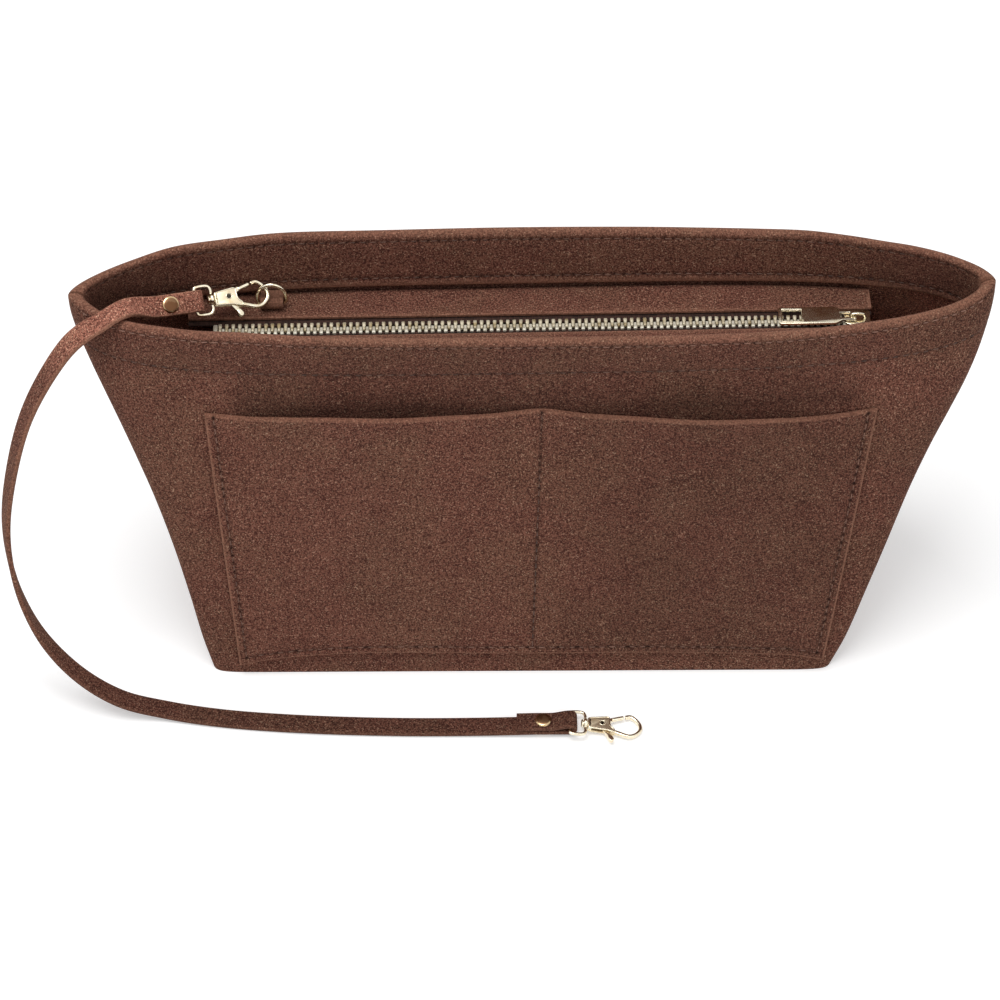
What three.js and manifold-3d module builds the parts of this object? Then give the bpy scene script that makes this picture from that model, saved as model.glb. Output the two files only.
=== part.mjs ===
// Felt handbag organizer pouch with a recessed zip lid, slip pockets and a key strap.
// Millimetres, +Z up, origin at the centre of the base's underside.
// +X runs to the right along the zip, and -Y is the front.

import * as THREE from "three";
import { mergeVertices } from "three/addons/utils/BufferGeometryUtils.js";
import Module from "manifold-3d";

const wasm = await Module();
wasm.setup();

// Felt and clearances
const felt = 2.2;
const gap = 0.3;
const seatGap = 0.6;

// Felt body
const height = 183;
const baseWidth = 274;
const baseDepth = 112;
const rimWidth = 380;
const rimDepth = 66.6;
const neckDepth = 60.8;
const hemDrop = 25;
const rimLean = 4.5;
const rimTurn = THREE.MathUtils.degToRad(1.1);
const baseCorner = 20;
const rimRound = 3.3;
const rimSeam = 1.5;
const roundGrowth = 1.5;
const seamGrowth = 3;
const seamSlant = 1.35;

// How far each wall's rim rises or sinks along it: place along the wall, and lift
const frontWave = [
  [-190.5, 0],
  [-182, -1.6],
  [-175, -3.2],
  [-168, -3.6],
  [-160, -3.2],
  [-150, -2.3],
  [-137, -1.7],
  [-127, -0.6],
  [-117, 0],
  [-90, -0.2],
  [-59, -0.5],
  [-4, -1.2],
  [53, -2],
  [79, -2.3],
  [105, -2.9],
  [131, -3.2],
  [157, -4.1],
  [174, -4.5],
  [184, -3.6],
  [190.5, -1.2],
];
const backWave = [
  [-190.5, 0],
  [-180, 0.5],
  [-165, 2],
  [-148, 4.2],
  [-128, 3.9],
  [-108, 4.2],
  [-65, 2.3],
  [-4, 2],
  [40, 1.3],
  [75, 0.7],
  [95, 0.8],
  [115, 1.2],
  [131, 0.5],
  [147, -0.2],
  [157, 0],
  [170, -0.1],
  [178, -0.4],
  [184, -0.6],
  [190.5, -1.2],
];
const waveSteps = 120;

// By height: how much further out each side stands than straight sides would, and how far the
// body stands to the right
const sideSwell = [
  [0, 0],
  [15, 0.3],
  [40, -1.1],
  [65, -1.7],
  [90, -1.1],
  [110, 0.9],
  [125, 3],
  [138, 4.6],
  [150, 5.2],
  [162, 4.6],
  [173, 2.9],
  [183, 0],
];
const sideShift = [
  [0, 0],
  [15, 0.8],
  [40, 1.5],
  [65, 2],
  [90, 1.9],
  [110, 1.9],
  [125, 2.2],
  [138, 2.3],
  [150, 1.9],
  [162, 1.1],
  [173, 0.4],
  [183, 0],
];

// Slip pockets, two side by side in each panel
const pocketFelt = 2;
const pocketFoot = 4;
const pocketTop = 142;
const pocketBottomWidth = 257;
const pocketTopWidth = 278;
const pocketShift = 4;
const pocketSlack = 6.5;
const slackGrowth = 1.3;
const pocketsPerSide = 2;
const pocketGap = 0.5;
const mouthRise = 3;
const mouthSag = 3.9;
const footSag = 2.4;

// Zip lid
const lidDrop = 28;
const lidLength = 286;
const lidFelt = 2;
const zipShift = 6;
const slotWidth = 10.4;
const tapeWidth = 12;
const tapeThickness = 0.6;

// Zip chain
const chainLength = 269;
const chainShift = 4.2;
const toothPitch = 2.73;
const toothReach = 0.9;
const toothThickness = 2.4;
const beadInner = 2;
const beadOuter = 3.1;
const stopLength = 2;

// Zip slider and its puller
const sliderLength = 11;
const sliderWidth = 9.4;
const sliderPlate = 0.9;
const plateRoom = 0.35;
const tailCorner = 1;
const mouthCorner = 2;
const flangeWidth = 0.8;
const postLength = 2.4;
const postWidth = 1.8;
const postInset = 0.2;
const bailLength = 7;
const bailWidth = 2.2;
const bailThickness = 1;
const bailRoom = 2;
const pullerLength = 31.6;
const pullerWidth = 9.6;
const pullerThickness = 1.2;
const pullerArm = 1.5;
const pullerNeck = 3;
const windowLength = 8;
const windowMargin = 1.6;

// Tab and the D-ring in its fold
const tabWidth = 9.6;
const tabLayer = 1.8;
const tabPlace = -108;
const tabReach = 9.11;
const tabClosing = 3.5;
const ringWire = 1.6;
const ringLeg = 3.5;
const ringHeight = 10;
const ringCorner = 1;

// Key strap
const strapWidth = 9;
const strapFelt = 2.2;
const flapLength = 23;
const rivetPlace = 11.6;
const rivetHead = 7;
const rivetDome = 1;
const rivetPost = 2.8;

// Swivel clasps. Sizes along a clasp run from its gate's pivot towards the tip.
const eyeWire = 1.4;
const eyeReach = 14;
const eyeRoom = 0.5;
const eyeCorner = 0.8;
const eyeShoulder = 1.5;
const eyeRoot = 2;
const collarLength = 1.6;
const collarWidth = 5;
const shankDiameter = 2.4;
const shankHead = 0.8;
const headDiameter = 3.6;
const bodyReach = 6.2;
const bodyWall = 1.2;
const claspPlate = 3.2;
const clawWire = 2;
const gateThickness = 1;
const gateHub = 1.9;
const pivotDiameter = 1.2;
const clawOuter = [
  [9.63, 5.1],
  [12.1, 5.7],
  [15.5, 3.7],
  [17.5, 0],
  [17.6, -1.9],
  [15.7, -4.9],
  [11.8, -6.65],
  [7.25, -5.5],
  [4.4, -4.7],
];
const clawInner = [
  [10.39, 3.3],
  [12, 3.9],
  [14.3, 2.6],
  [15.8, 0],
  [15.8, -1.6],
  [14.3, -3.8],
  [11.8, -4.85],
  [7.7, -3.7],
  [4.4, -2.6],
];
const bodyOutline = [
  [-bodyReach, -3],
  [-2, -3.4],
  [2.25, -3.95],
  [5.6, -4.9],
  [5.9, -3.1],
  [3.4, -1.6],
  [3.4, 2.6],
  [2.1, 3.5],
  [-2, 3.2],
  [-bodyReach, 2.2],
];
const gateSlot = [
  [-4.7, -1.5],
  [-2.3, -1.5],
  [-2.3, -6],
  [3.6, -6],
  [3.6, 6],
  [-2.3, 6],
  [-2.3, 1.8],
  [-4.7, 1.8],
];
const gateArm = [
  [-1.2, 1.2],
  [1.2, -1.2],
  [3, 0.9],
  [10.04, 3.4],
  [9.29, 5.1],
  [2.1, 3.2],
];
const gateArmThick = [
  [4.6, 1.5],
  [10.04, 3.4],
  [9.29, 5.1],
  [4.4, 3.85],
];
const gateLever = [
  [-0.8, -0.4],
  [3.1, -8.9],
  [5, -8],
  [0.8, 0.4],
];
const gateThumb = [
  [2.2, -6.4],
  [3.1, -8.9],
  [5, -8],
  [3.8, -5.8],
];
const springOutline = [
  [-4.4, -1.1],
  [-4, -1.2],
  [-2.75, 0.9],
  [-4, 1.5],
  [-4.4, 1.4],
  [-3.3, 0.8],
];
const nearPivot = [-121.8, 10.4, 166.1];
const nearAlong = [0.93, 0.34, -0.14];
const nearAcross = [-0.149, 0.739, 0.665];
const farPivot = [34.4, -88.5, 3.15];
const farAlong = [0.9939, 0, -0.1108];
const nearSwivel = THREE.MathUtils.degToRad(-10);

// Key strap's route between its doubled ends: x, y, z, and the way its width runs there
const strapRoute = [
  [-152.2, -3.2, 173.5, -0.22, 0.77, 0.6],
  [-156.8, -7.3, 177.7, -0.38, 0.8, 0.4],
  [-161.3, -11.8, 181.3, -0.5, 0.83, 0.12],
  [-166, -15.7, 181.9, -0.56, 0.82, 0],
  [-171, -19, 180.4, -0.58, 0.81, 0],
  [-177.3, -21, 177.4, -0.55, 0.82, 0.12],
  [-184.6, -22.6, 171, -0.48, 0.86, 0.2],
  [-196, -26, 154.5, -0.45, 0.89, 0.1],
  [-205.7, -31, 136, -0.42, 0.9, 0],
  [-213.2, -38, 113.2, -0.38, 0.92, 0],
  [-217.9, -45, 89.6, -0.33, 0.94, 0],
  [-218, -51, 70.8, -0.28, 0.96, 0],
  [-214.6, -57, 51.4, -0.22, 0.97, 0],
  [-206.3, -64, 32.9, -0.15, 0.99, 0],
  [-192, -72, 18.6, -0.08, 1, 0],
  [-174.9, -77.5, 9, 0, 1, 0],
  [-156.2, -79, 3, 0, 1, 0],
  [-131.9, -82.6, 1.4, 0, 1, 0],
  [-96.8, -86.1, 1.4, 0, 1, 0],
  [-53.3, -88, 1.4, 0, 1, 0],
  [-18.5, -88.3, 1.7, 0, 1, 0],
];

const colours = {
  felt: { color: 0x5a3a2f, roughness: 0.95, metalness: 0 },
  tape: { color: 0x33231c, roughness: 0.9, metalness: 0 },
  teeth: { color: 0xc9bb93, roughness: 0.3, metalness: 1 },
  gold: { color: 0xd8c08a, roughness: 0.25, metalness: 1 },
  steel: { color: 0xb9b9b4, roughness: 0.4, metalness: 1 },
};

const { lerp, clamp } = THREE.MathUtils;
const vec = (x, y, z) => new THREE.Vector3(x, y, z);

// Welds a geometry's loose corners and hands it over for a boolean.
function solidOf(geometry) {
  const bare = geometry.clone();
  bare.deleteAttribute("normal");
  bare.deleteAttribute("uv");
  const welded = mergeVertices(bare, 1e-4);
  return new wasm.Manifold(
    new wasm.Mesh({
      numProp: 3,
      vertProperties: new Float32Array(welded.attributes.position.array),
      triVerts: new Uint32Array(welded.index.array),
    }),
  );
}

function geometryOf(solid) {
  const mesh = solid.getMesh();
  const geometry = new THREE.BufferGeometry();
  geometry.setAttribute("position", new THREE.BufferAttribute(new Float32Array(mesh.vertProperties), 3));
  geometry.setIndex(new THREE.BufferAttribute(new Uint32Array(mesh.triVerts), 1));
  return geometry;
}

const joined = (...parts) => geometryOf(parts.map(solidOf).reduce((all, one) => all.add(one)));
const without = (solid, tool) => solid.subtract(solidOf(tool));
const cut = (body, ...tools) => geometryOf(tools.reduce(without, solidOf(body)));

// A box from its lowest and highest corners.
function block(low, high) {
  const size = high.map((top, axis) => top - low[axis]);
  const box = new THREE.BoxGeometry(...size);
  return box.translate(...low.map((bottom, axis) => bottom + size[axis] / 2));
}

// A flat outline given thickness along Z, from z = low.
function slab(points, thickness, low = 0) {
  const shape = new THREE.Shape(points.map(([x, y]) => new THREE.Vector2(x, y)));
  return new THREE.ExtrudeGeometry(shape, { depth: thickness, bevelEnabled: false }).translate(0, 0, low);
}

// Round wire bent along a list of points, cut square at both ends.
function wire(points, diameter, steps, sides = 8) {
  const section = new THREE.Shape();
  for (let side = 0; side < sides; side += 1) {
    const turn = (2 * Math.PI * side) / sides;
    const place = [(diameter / 2) * Math.cos(turn), (diameter / 2) * Math.sin(turn)];
    if (side === 0) section.moveTo(...place);
    else section.lineTo(...place);
  }
  const path = new THREE.CatmullRomCurve3(points, false, "centripetal");
  return new THREE.ExtrudeGeometry(section, { steps, bevelEnabled: false, extrudePath: path });
}

function rod(diameter, length, sides = 16) {
  return new THREE.CylinderGeometry(diameter / 2, diameter / 2, length, sides);
}

// Quads of a grid of points, closed round in either direction where asked.
function gridFaces(rows, columns, wrapRows, wrapColumns) {
  const faces = [];
  for (let row = 0; row < (wrapRows ? rows : rows - 1); row += 1) {
    for (let column = 0; column < (wrapColumns ? columns : columns - 1); column += 1) {
      const nextRow = (row + 1) % rows;
      const nextColumn = (column + 1) % columns;
      const a = row * columns + column;
      const b = row * columns + nextColumn;
      const c = nextRow * columns + nextColumn;
      const d = nextRow * columns + column;
      faces.push(a, b, c, a, c, d);
    }
  }
  return faces;
}

// A mesh from points and faces, turned so that its faces look outwards.
function shell(points, faces) {
  const geometry = new THREE.BufferGeometry();
  geometry.setAttribute("position", new THREE.Float32BufferAttribute(points.flat(), 3));
  let volume = 0;
  for (let face = 0; face < faces.length; face += 3) {
    const [a, b, c] = [0, 1, 2].map((corner) => vec(...points[faces[face + corner]]));
    volume += a.dot(b.cross(c));
  }
  geometry.setIndex(volume > 0 ? faces : faces.toReversed());
  return geometry;
}

// A smooth curve through knots of place and value, to be read at any place.
function curveThrough(knots, steps = waveSteps) {
  const curve = new THREE.SplineCurve(knots.map(([place, value]) => new THREE.Vector2(place, value)));
  const line = curve.getPoints(steps);
  return (place) => {
    const found = line.findIndex(({ x }) => x >= place);
    const next = found < 0 ? steps : Math.max(found, 1);
    const [before, after] = [line[next - 1], line[next]];
    return lerp(before.y, after.y, clamp((place - before.x) / (after.x - before.x), 0, 1));
  };
}

const swellAt = curveThrough(sideSwell);
const shiftAt = curveThrough(sideShift);

// The body's plan at one height. Low down it is a boxed corner rectangle, and it closes to a
// pointed oval at the rim, where the front and back meet in the side seams.
function planAt(z) {
  const rise = clamp(z / height, 0, 1);
  const neckHeight = height - hemDrop;
  const inHem = clamp((z - neckHeight) / hemDrop, 0, 1);
  const below = lerp(baseDepth, neckDepth, clamp(z / neckHeight, 0, 1));
  const depth = z < neckHeight ? below : lerp(neckDepth, rimDepth, inHem);
  return {
    halfWidth: lerp(baseWidth, rimWidth, rise) / 2 + swellAt(z),
    halfDepth: depth / 2,
    along: 1 / lerp(1 / baseCorner, 1 / rimRound, rise ** roundGrowth),
    across: 1 / lerp(1 / baseCorner, 1 / rimSeam, rise ** seamGrowth),
    seamSpread: lerp(1, seamSlant, rise ** seamGrowth),
  };
}

// Half depth of the felt body at a place along it, a given way in from its outer face.
function halfDepthAt(x, z, inset = 0) {
  const plan = planAt(z);
  const share = clamp(Math.abs(x) / (plan.halfWidth - inset * plan.seamSpread), 0, 1);
  return (plan.halfDepth - inset) * (1 - share ** plan.along) ** (1 / plan.across);
}

// Where along a quarter of the plan its points lie, closer together round the base's corner.
const cornerShare = baseDepth / (baseDepth + baseWidth);
const evenSteps = 16;
const cornerSteps = 6;
const cornerSpread = 0.05;
const fineSteps = 240;
const evenShares = Array.from({ length: evenSteps + 1 }, (_, step) => step / evenSteps);
const cornerShares = Array.from({ length: cornerSteps }, (_, step) => {
  return cornerShare + cornerSpread * ((2 * step + 1) / cornerSteps - 1);
});
const quarterShares = [...evenShares, ...cornerShares].sort((a, b) => a - b);

// A quarter of the plan, from the side seam round to the middle of the front. The points near
// the base's corner keep to the corner all the way up.
function quarterPlan(z, inset) {
  const plan = planAt(z);
  const corner = plan.halfDepth / (plan.halfDepth + plan.halfWidth);
  const atHeight = (share) =>
    share < cornerShare
      ? (share / cornerShare) * corner
      : corner + ((share - cornerShare) / (1 - cornerShare)) * (1 - corner);
  const width = plan.halfWidth - inset * plan.seamSpread;
  const depth = plan.halfDepth - inset;
  const fine = Array.from({ length: fineSteps + 1 }, (_, step) => {
    const turn = (step / fineSteps) * (Math.PI / 2);
    return [width * Math.cos(turn) ** (2 / plan.along), depth * Math.sin(turn) ** (2 / plan.across)];
  });
  fine[fineSteps][0] = 0;
  const run = [0];
  for (let step = 1; step <= fineSteps; step += 1) {
    const [before, here] = [fine[step - 1], fine[step]];
    run.push(run[step - 1] + Math.hypot(here[0] - before[0], here[1] - before[1]));
  }
  return quarterShares.map((share) => {
    const goal = atHeight(share) * run[fineSteps];
    const step = clamp(run.findIndex((length) => length >= goal), 1, fineSteps);
    const part = (goal - run[step - 1]) / (run[step] - run[step - 1]);
    return [lerp(fine[step - 1][0], fine[step][0], part), lerp(fine[step - 1][1], fine[step][1], part)];
  });
}

// The whole plan as a closed ring of points, anticlockwise from the right side seam.
function ringPlan(z, inset) {
  const quarter = quarterPlan(z, inset);
  const back = quarter.slice().reverse();
  return [
    ...quarter.map(([x, y]) => [x, y]),
    ...back.slice(1).map(([x, y]) => [-x, y]),
    ...quarter.slice(1).map(([x, y]) => [-x, -y]),
    ...back.slice(1, -1).map(([x, y]) => [x, -y]),
  ];
}

// The rim waves: the hem stretches upwards or sinks, more and more towards the rim.
function waved(geometry, knots) {
  const liftAt = curveThrough(knots);
  const place = geometry.attributes.position;
  for (let index = 0; index < place.count; index += 1) {
    const rise = Math.max(place.getZ(index) - height + hemDrop, 0) / hemDrop;
    place.setZ(index, place.getZ(index) + rise * liftAt(place.getX(index)));
  }
  return geometry;
}

// The body leans and bends a little to the right, and its rim is turned against its base.
function stand(geometry) {
  const place = geometry.attributes.position;
  for (let index = 0; index < place.count; index += 1) {
    const rise = place.getZ(index) / height;
    const spot = vec(place.getX(index), place.getY(index), 0).applyAxisAngle(vec(0, 0, 1), rimTurn * rise);
    place.setXY(index, spot.x + rimLean * rise + shiftAt(place.getZ(index)), spot.y);
  }
  return geometry;
}

// Front and back walls: one felt section, folded inwards over the rim as a hem, swept round the
// plan and parted along the side seams.
function wallPair() {
  const foldRadius = felt + gap / 2;
  const foldHeight = height - foldRadius;
  const hemEdge = height - hemDrop;
  const rises = [0, 8, 20, 40, 60, 80, 100, 120, 140, hemEdge].filter((z) => z <= hemEdge);
  const hemRises = [hemEdge + (foldHeight - hemEdge) / 2, foldHeight];
  const arc = [1, 2, 3, 4, 5].map((step) => Math.PI * (step / 6));
  const section = [
    ...rises.map((z) => [0, z]),
    ...hemRises.map((z) => [0, z]),
    ...arc.map((turn) => [foldRadius * (1 - Math.cos(turn)), foldHeight + foldRadius * Math.sin(turn)]),
    ...hemRises.toReversed().map((z) => [2 * foldRadius, z]),
    [2 * foldRadius, hemEdge],
    [felt + gap, hemEdge],
    ...hemRises.map((z) => [felt + gap, z]),
    [foldRadius, foldHeight + gap / 2],
    ...hemRises.toReversed().map((z) => [felt, z]),
    ...rises.toReversed().map((z) => [felt, z]),
  ];
  const rings = section.map(([inset, z]) => ringPlan(z, inset).map(([x, y]) => [x, y, z]));
  const whole = shell(rings.flat(), gridFaces(rings.length, rings[0].length, true, true));
  const far = rimWidth;
  const front = block([-far, -far, -far], [far, -gap / 2, far]);
  const back = block([-far, gap / 2, -far], [far, far, far]);
  const halves = [front, back].map((half) => geometryOf(solidOf(whole).intersect(solidOf(half))));
  return [stand(waved(halves[0], frontWave)), stand(waved(halves[1], backWave))];
}

// The base lies inside the feet of the walls.
function basePanel() {
  const rings = [0, felt].map((z) => ringPlan(z, felt + gap).map(([x, y]) => [x, y, z]));
  const count = rings[0].length;
  const points = [...rings.flat(), [0, 0, 0], [0, 0, felt]];
  const faces = gridFaces(2, count, false, true);
  for (let index = 0; index < count; index += 1) {
    const next = (index + 1) % count;
    faces.push(next, index, 2 * count, count + index, count + next, 2 * count + 1);
  }
  return stand(shell(points, faces));
}

// A pocket panel follows the wall outside and gapes a little at its mouths. The line of the
// mouths rises in the middle, and the whole panel sags towards its right end.
function pocketPanel(side) {
  const columns = 12 * pocketsPerSide + 1;
  const rows = 9;
  const faceAt = (extra) => {
    const points = [];
    for (let row = 0; row < rows; row += 1) {
      const rise = row / (rows - 1);
      const level = lerp(pocketFoot, pocketTop, rise);
      const width = lerp(pocketBottomWidth, pocketTopWidth, rise);
      for (let column = 0; column < columns; column += 1) {
        const share = column / (columns - 1);
        const lift = mouthRise * Math.sin(Math.PI * share) ** 2 * rise ** 4;
        const z = level + lift - lerp(footSag, mouthSag, rise) * share ** 3;
        const x = (share - 0.5) * width + pocketShift - shiftAt(z);
        const slack = pocketSlack * Math.sin(Math.PI * share * pocketsPerSide) ** 2 * rise ** slackGrowth;
        points.push([x, side * (halfDepthAt(x, z) + pocketGap + slack + extra), z]);
      }
    }
    return points;
  };
  const size = rows * columns;
  const near = gridFaces(rows, columns, false, false);
  const far = near.toReversed().map((corner) => corner + size);
  const rim = [
    ...Array.from({ length: columns }, (_, column) => column),
    ...Array.from({ length: rows - 1 }, (_, row) => (row + 1) * columns + columns - 1),
    ...Array.from({ length: columns - 1 }, (_, column) => size - 2 - column),
    ...Array.from({ length: rows - 2 }, (_, row) => (rows - 2 - row) * columns),
  ];
  const edge = rim.flatMap((corner, index) => {
    const next = rim[(index + 1) % rim.length];
    return [next, corner, corner + size, next, corner + size, next + size];
  });
  return stand(shell([...faceAt(0), ...faceAt(pocketFelt)], [...near, ...far, ...edge]));
}

// Heights in the lid's own frame, whose zero is the top of its felt strips.
const lidHeight = height - lidDrop;
const lidShift = shiftAt(lidHeight);
const tapeTop = -lidFelt - gap;
const tapeBottom = tapeTop - tapeThickness;
const toothMiddle = (tapeTop + tapeBottom) / 2;
const toothTop = toothMiddle + toothThickness / 2;
const toothBottom = toothMiddle - toothThickness / 2;
const zipY = zipShift;
const chainStart = -chainLength / 2 + chainShift;
const chainEnd = chainStart + chainLength;
const toothCount = Math.floor(chainLength / toothPitch);

// A felt strip of the lid, from the wall to the edge of the zip's slot.
function lidStrip(side) {
  const steps = 24;
  const wallEdge = Array.from({ length: steps + 1 }, (_, step) => {
    const x = lidLength * (step / steps - 0.5);
    const place = x - lidShift;
    const inner = [lidHeight, lidHeight - lidFelt].map((z) => halfDepthAt(place, z, felt));
    return [x, side * (Math.min(...inner) - seatGap)];
  });
  const slotEdge = zipY + (side * slotWidth) / 2;
  const outline = [...wallEdge, [lidLength / 2, slotEdge], [-lidLength / 2, slotEdge]];
  return slab(side > 0 ? outline.toReversed() : outline, lidFelt, -lidFelt);
}

function zipTape(side) {
  const near = zipY + side * (beadOuter + gap);
  const far = near + side * tapeWidth;
  const [low, high] = [Math.min(near, far), Math.max(near, far)];
  return block([-lidLength / 2, low, tapeBottom], [lidLength / 2, high, tapeTop]);
}

// One side's teeth stand on their bead like a comb, and mesh with the other side's.
function zipTeeth(side) {
  const half = toothPitch / 4 - gap / 2;
  const points = [
    [chainStart, -beadOuter],
    [chainEnd, -beadOuter],
    [chainEnd, -beadInner],
  ];
  for (let tooth = toothCount - 1; tooth >= 0; tooth -= 1) {
    const middle = chainStart + (tooth + (side > 0 ? 0.25 : 0.75)) * toothPitch;
    points.push([middle + half, -beadInner], [middle + half, toothReach]);
    points.push([middle - half, toothReach], [middle - half, -beadInner]);
  }
  points.push([chainStart, -beadInner]);
  const outline = points.map(([x, y]) => [x, zipY - side * y]);
  return slab(side > 0 ? outline.toReversed() : outline, toothThickness, toothBottom);
}

function zipStop(x, side) {
  const reach = [beadInner, beadOuter].map((y) => zipY + side * y).sort((a, b) => a - b);
  return block([x, reach[0], toothBottom], [x + stopLength, reach[1], toothTop]);
}

// The bottom stop clamps across both beads at the chain's closed end.
function bottomStop() {
  const right = chainStart - gap;
  return block([right - stopLength, zipY - beadOuter, toothBottom], [right, zipY + beadOuter, toothTop]);
}

// Slider: two plates on a wedge post, with flanges that keep the tapes in their slots.
const sliderX = chainEnd - sliderLength / 2 + postLength + 1;
const plateLow = toothTop + plateRoom;
const plateHigh = plateLow + sliderPlate;
const bottomHigh = toothBottom - plateRoom;
function sliderBody() {
  const tail = -sliderLength / 2;
  const mouth = sliderLength / 2;
  const half = sliderWidth / 2;
  const outline = [
    [tail, -half + tailCorner],
    [tail + tailCorner, -half],
    [mouth - mouthCorner, -half],
    [mouth, -half + tailCorner],
    [mouth, half - tailCorner],
    [mouth - mouthCorner, half],
    [tail + tailCorner, half],
    [tail, half - tailCorner],
  ];
  const plates = [slab(outline, sliderPlate, plateLow), slab(outline, sliderPlate, bottomHigh - sliderPlate)];
  const flanges = [-1, 1].flatMap((side) => {
    const y = [half - flangeWidth, half].map((reach) => side * reach).sort((a, b) => a - b);
    const [from, to] = [tail + tailCorner, mouth - mouthCorner];
    return [
      block([from, y[0], tapeTop + plateRoom], [to, y[1], plateLow + sliderPlate / 2]),
      block([from, y[0], bottomHigh - sliderPlate / 2], [to, y[1], tapeBottom - plateRoom]),
    ];
  });
  const wedge = slab(
    [
      [mouth - postLength - 2 * postInset, 0],
      [mouth - postLength / 2, -postWidth / 2],
      [mouth - postInset, 0],
      [mouth - postLength / 2, postWidth / 2],
    ],
    plateHigh - bottomHigh,
    bottomHigh - sliderPlate / 2,
  );
  const bail = cut(
    block([-bailLength / 2, -bailWidth / 2, plateHigh - sliderPlate / 2], [
      bailLength / 2,
      bailWidth / 2,
      plateHigh + bailRoom + bailThickness,
    ]),
    block([-bailLength / 2 + bailThickness, -bailWidth, plateHigh], [
      bailLength / 2 - bailThickness,
      bailWidth,
      plateHigh + bailRoom,
    ]),
  );
  return joined(...plates, ...flanges, wedge, bail);
}

// The puller hangs by a bar under the bail, and lies along the chain.
const pullerBar = bailRoom - 2 * gap;
const pullerPivot = [
  -bailLength / 2 + bailThickness + gap + pullerBar / 2,
  0,
  plateHigh + gap + pullerBar / 2,
];
function pullerPlate() {
  const half = pullerWidth / 2;
  const eyeLength = bailLength - bailThickness;
  const neckEnd = eyeLength - bailThickness;
  const armHalf = bailWidth / 2 + gap + pullerArm;
  const plate = slab(
    [
      [-pullerLength, -half],
      [-neckEnd - pullerNeck, -half],
      [-neckEnd, -armHalf],
      [0, -armHalf],
      [0, armHalf],
      [-neckEnd, armHalf],
      [-neckEnd - pullerNeck, half],
      [-pullerLength, half],
    ],
    pullerThickness,
    -pullerThickness / 2,
  );
  const far = pullerThickness;
  const eye = block([-eyeLength, -armHalf + pullerArm, -far], [-pullerBar / 2, armHalf - pullerArm, far]);
  const windowEnd = -pullerLength + windowMargin;
  const window = block(
    [windowEnd, -half + windowMargin, -far],
    [windowEnd + windowLength, half - windowMargin, far],
  );
  const bar = rod(pullerBar, 2 * armHalf, 12);
  return joined(cut(plate, eye, window), bar);
}

// Tab: a felt strip folded round the D-ring's bar, lying on the rear strip under the hem.
const ringBarHeight = gap + tabLayer + gap + ringWire / 2;
const tabFoldRadius = ringWire / 2 + gap + tabLayer;
const tabEdge = tabPlace - tabWidth / 2;
const tabRear = halfDepthAt(tabEdge - lidShift, height - hemDrop, 2 * felt + gap) - seatGap;
const ringBarY = tabRear - tabReach + tabFoldRadius;
function ringTab() {
  const inner = ringWire / 2 + gap;
  const foot = halfDepthAt(tabEdge - lidShift, lidHeight, felt) - seatGap;
  const turns = Array.from({ length: 9 }, (_, step) => Math.PI / 2 + (Math.PI * step) / 8);
  const around = (radius, turn) => [
    ringBarY + radius * Math.cos(turn),
    ringBarHeight + radius * Math.sin(turn),
  ];
  const low = gap;
  const close = ringBarY + tabClosing;
  const outer = [
    [tabRear, low + 2 * tabLayer + gap],
    [close, low + 2 * tabLayer + gap],
    ...turns.map((turn) => around(tabFoldRadius, turn)),
    [foot, low],
    [foot, low + tabLayer],
  ];
  const slit = [
    [close, low + tabLayer],
    ...turns.toReversed().map((turn) => around(inner, turn)),
    [close, low + tabLayer + gap],
    [tabRear, low + tabLayer + gap],
  ];
  return slab([...outer, ...slit], tabWidth, -tabWidth / 2).rotateX(Math.PI / 2).rotateZ(Math.PI / 2);
}

// D-ring bent from wire, with its slit in the bar, standing up from the tab's fold.
function dRing() {
  const half = tabWidth / 2 + gap + ringWire / 2;
  const slit = gap;
  const side = (x) => [
    vec(x * (half - ringCorner), 0, 0),
    vec(x * half, 0, ringCorner),
    vec(x * half, 0, ringLeg),
  ];
  const arc = Array.from({ length: 9 }, (_, step) => {
    const turn = (Math.PI * (step + 1)) / 10;
    return vec(half * Math.cos(turn), 0, ringLeg + (ringHeight - ringLeg) * Math.sin(turn));
  });
  const points = [
    vec(slit / 2, 0, 0),
    vec(half / 2, 0, 0),
    ...side(1),
    ...arc,
    ...side(-1).toReversed(),
    vec(-half / 2, 0, 0),
    vec(-slit / 2, 0, 0),
  ];
  return wire(points, ringWire, 44);
}

// Directions of a clasp in the world: along it from eye to tip, and across it towards the gate.
// The swivel is how far the hook is turned in the eye's collar.
function claspFrame(pivot, toTip, toGate, swivel) {
  const along = vec(...toTip).normalize();
  const up = along.clone().cross(vec(...toGate)).normalize();
  return { pivot: vec(...pivot), along, across: up.clone().cross(along), up, swivel };
}

const clasps = {
  near: claspFrame(nearPivot, nearAlong, nearAcross, nearSwivel),
  far: claspFrame(farPivot, farAlong, [0, 1, 0], 0),
};

// Collar and shank: the hook's shank turns in the eye's collar behind the hook's body.
const collarHead = -(bodyReach + gap + collarLength);

// A flat plate in the clasp's own plane, centred on that plane.
const plate = (points, thickness) => slab(points, thickness, -thickness / 2);

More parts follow.
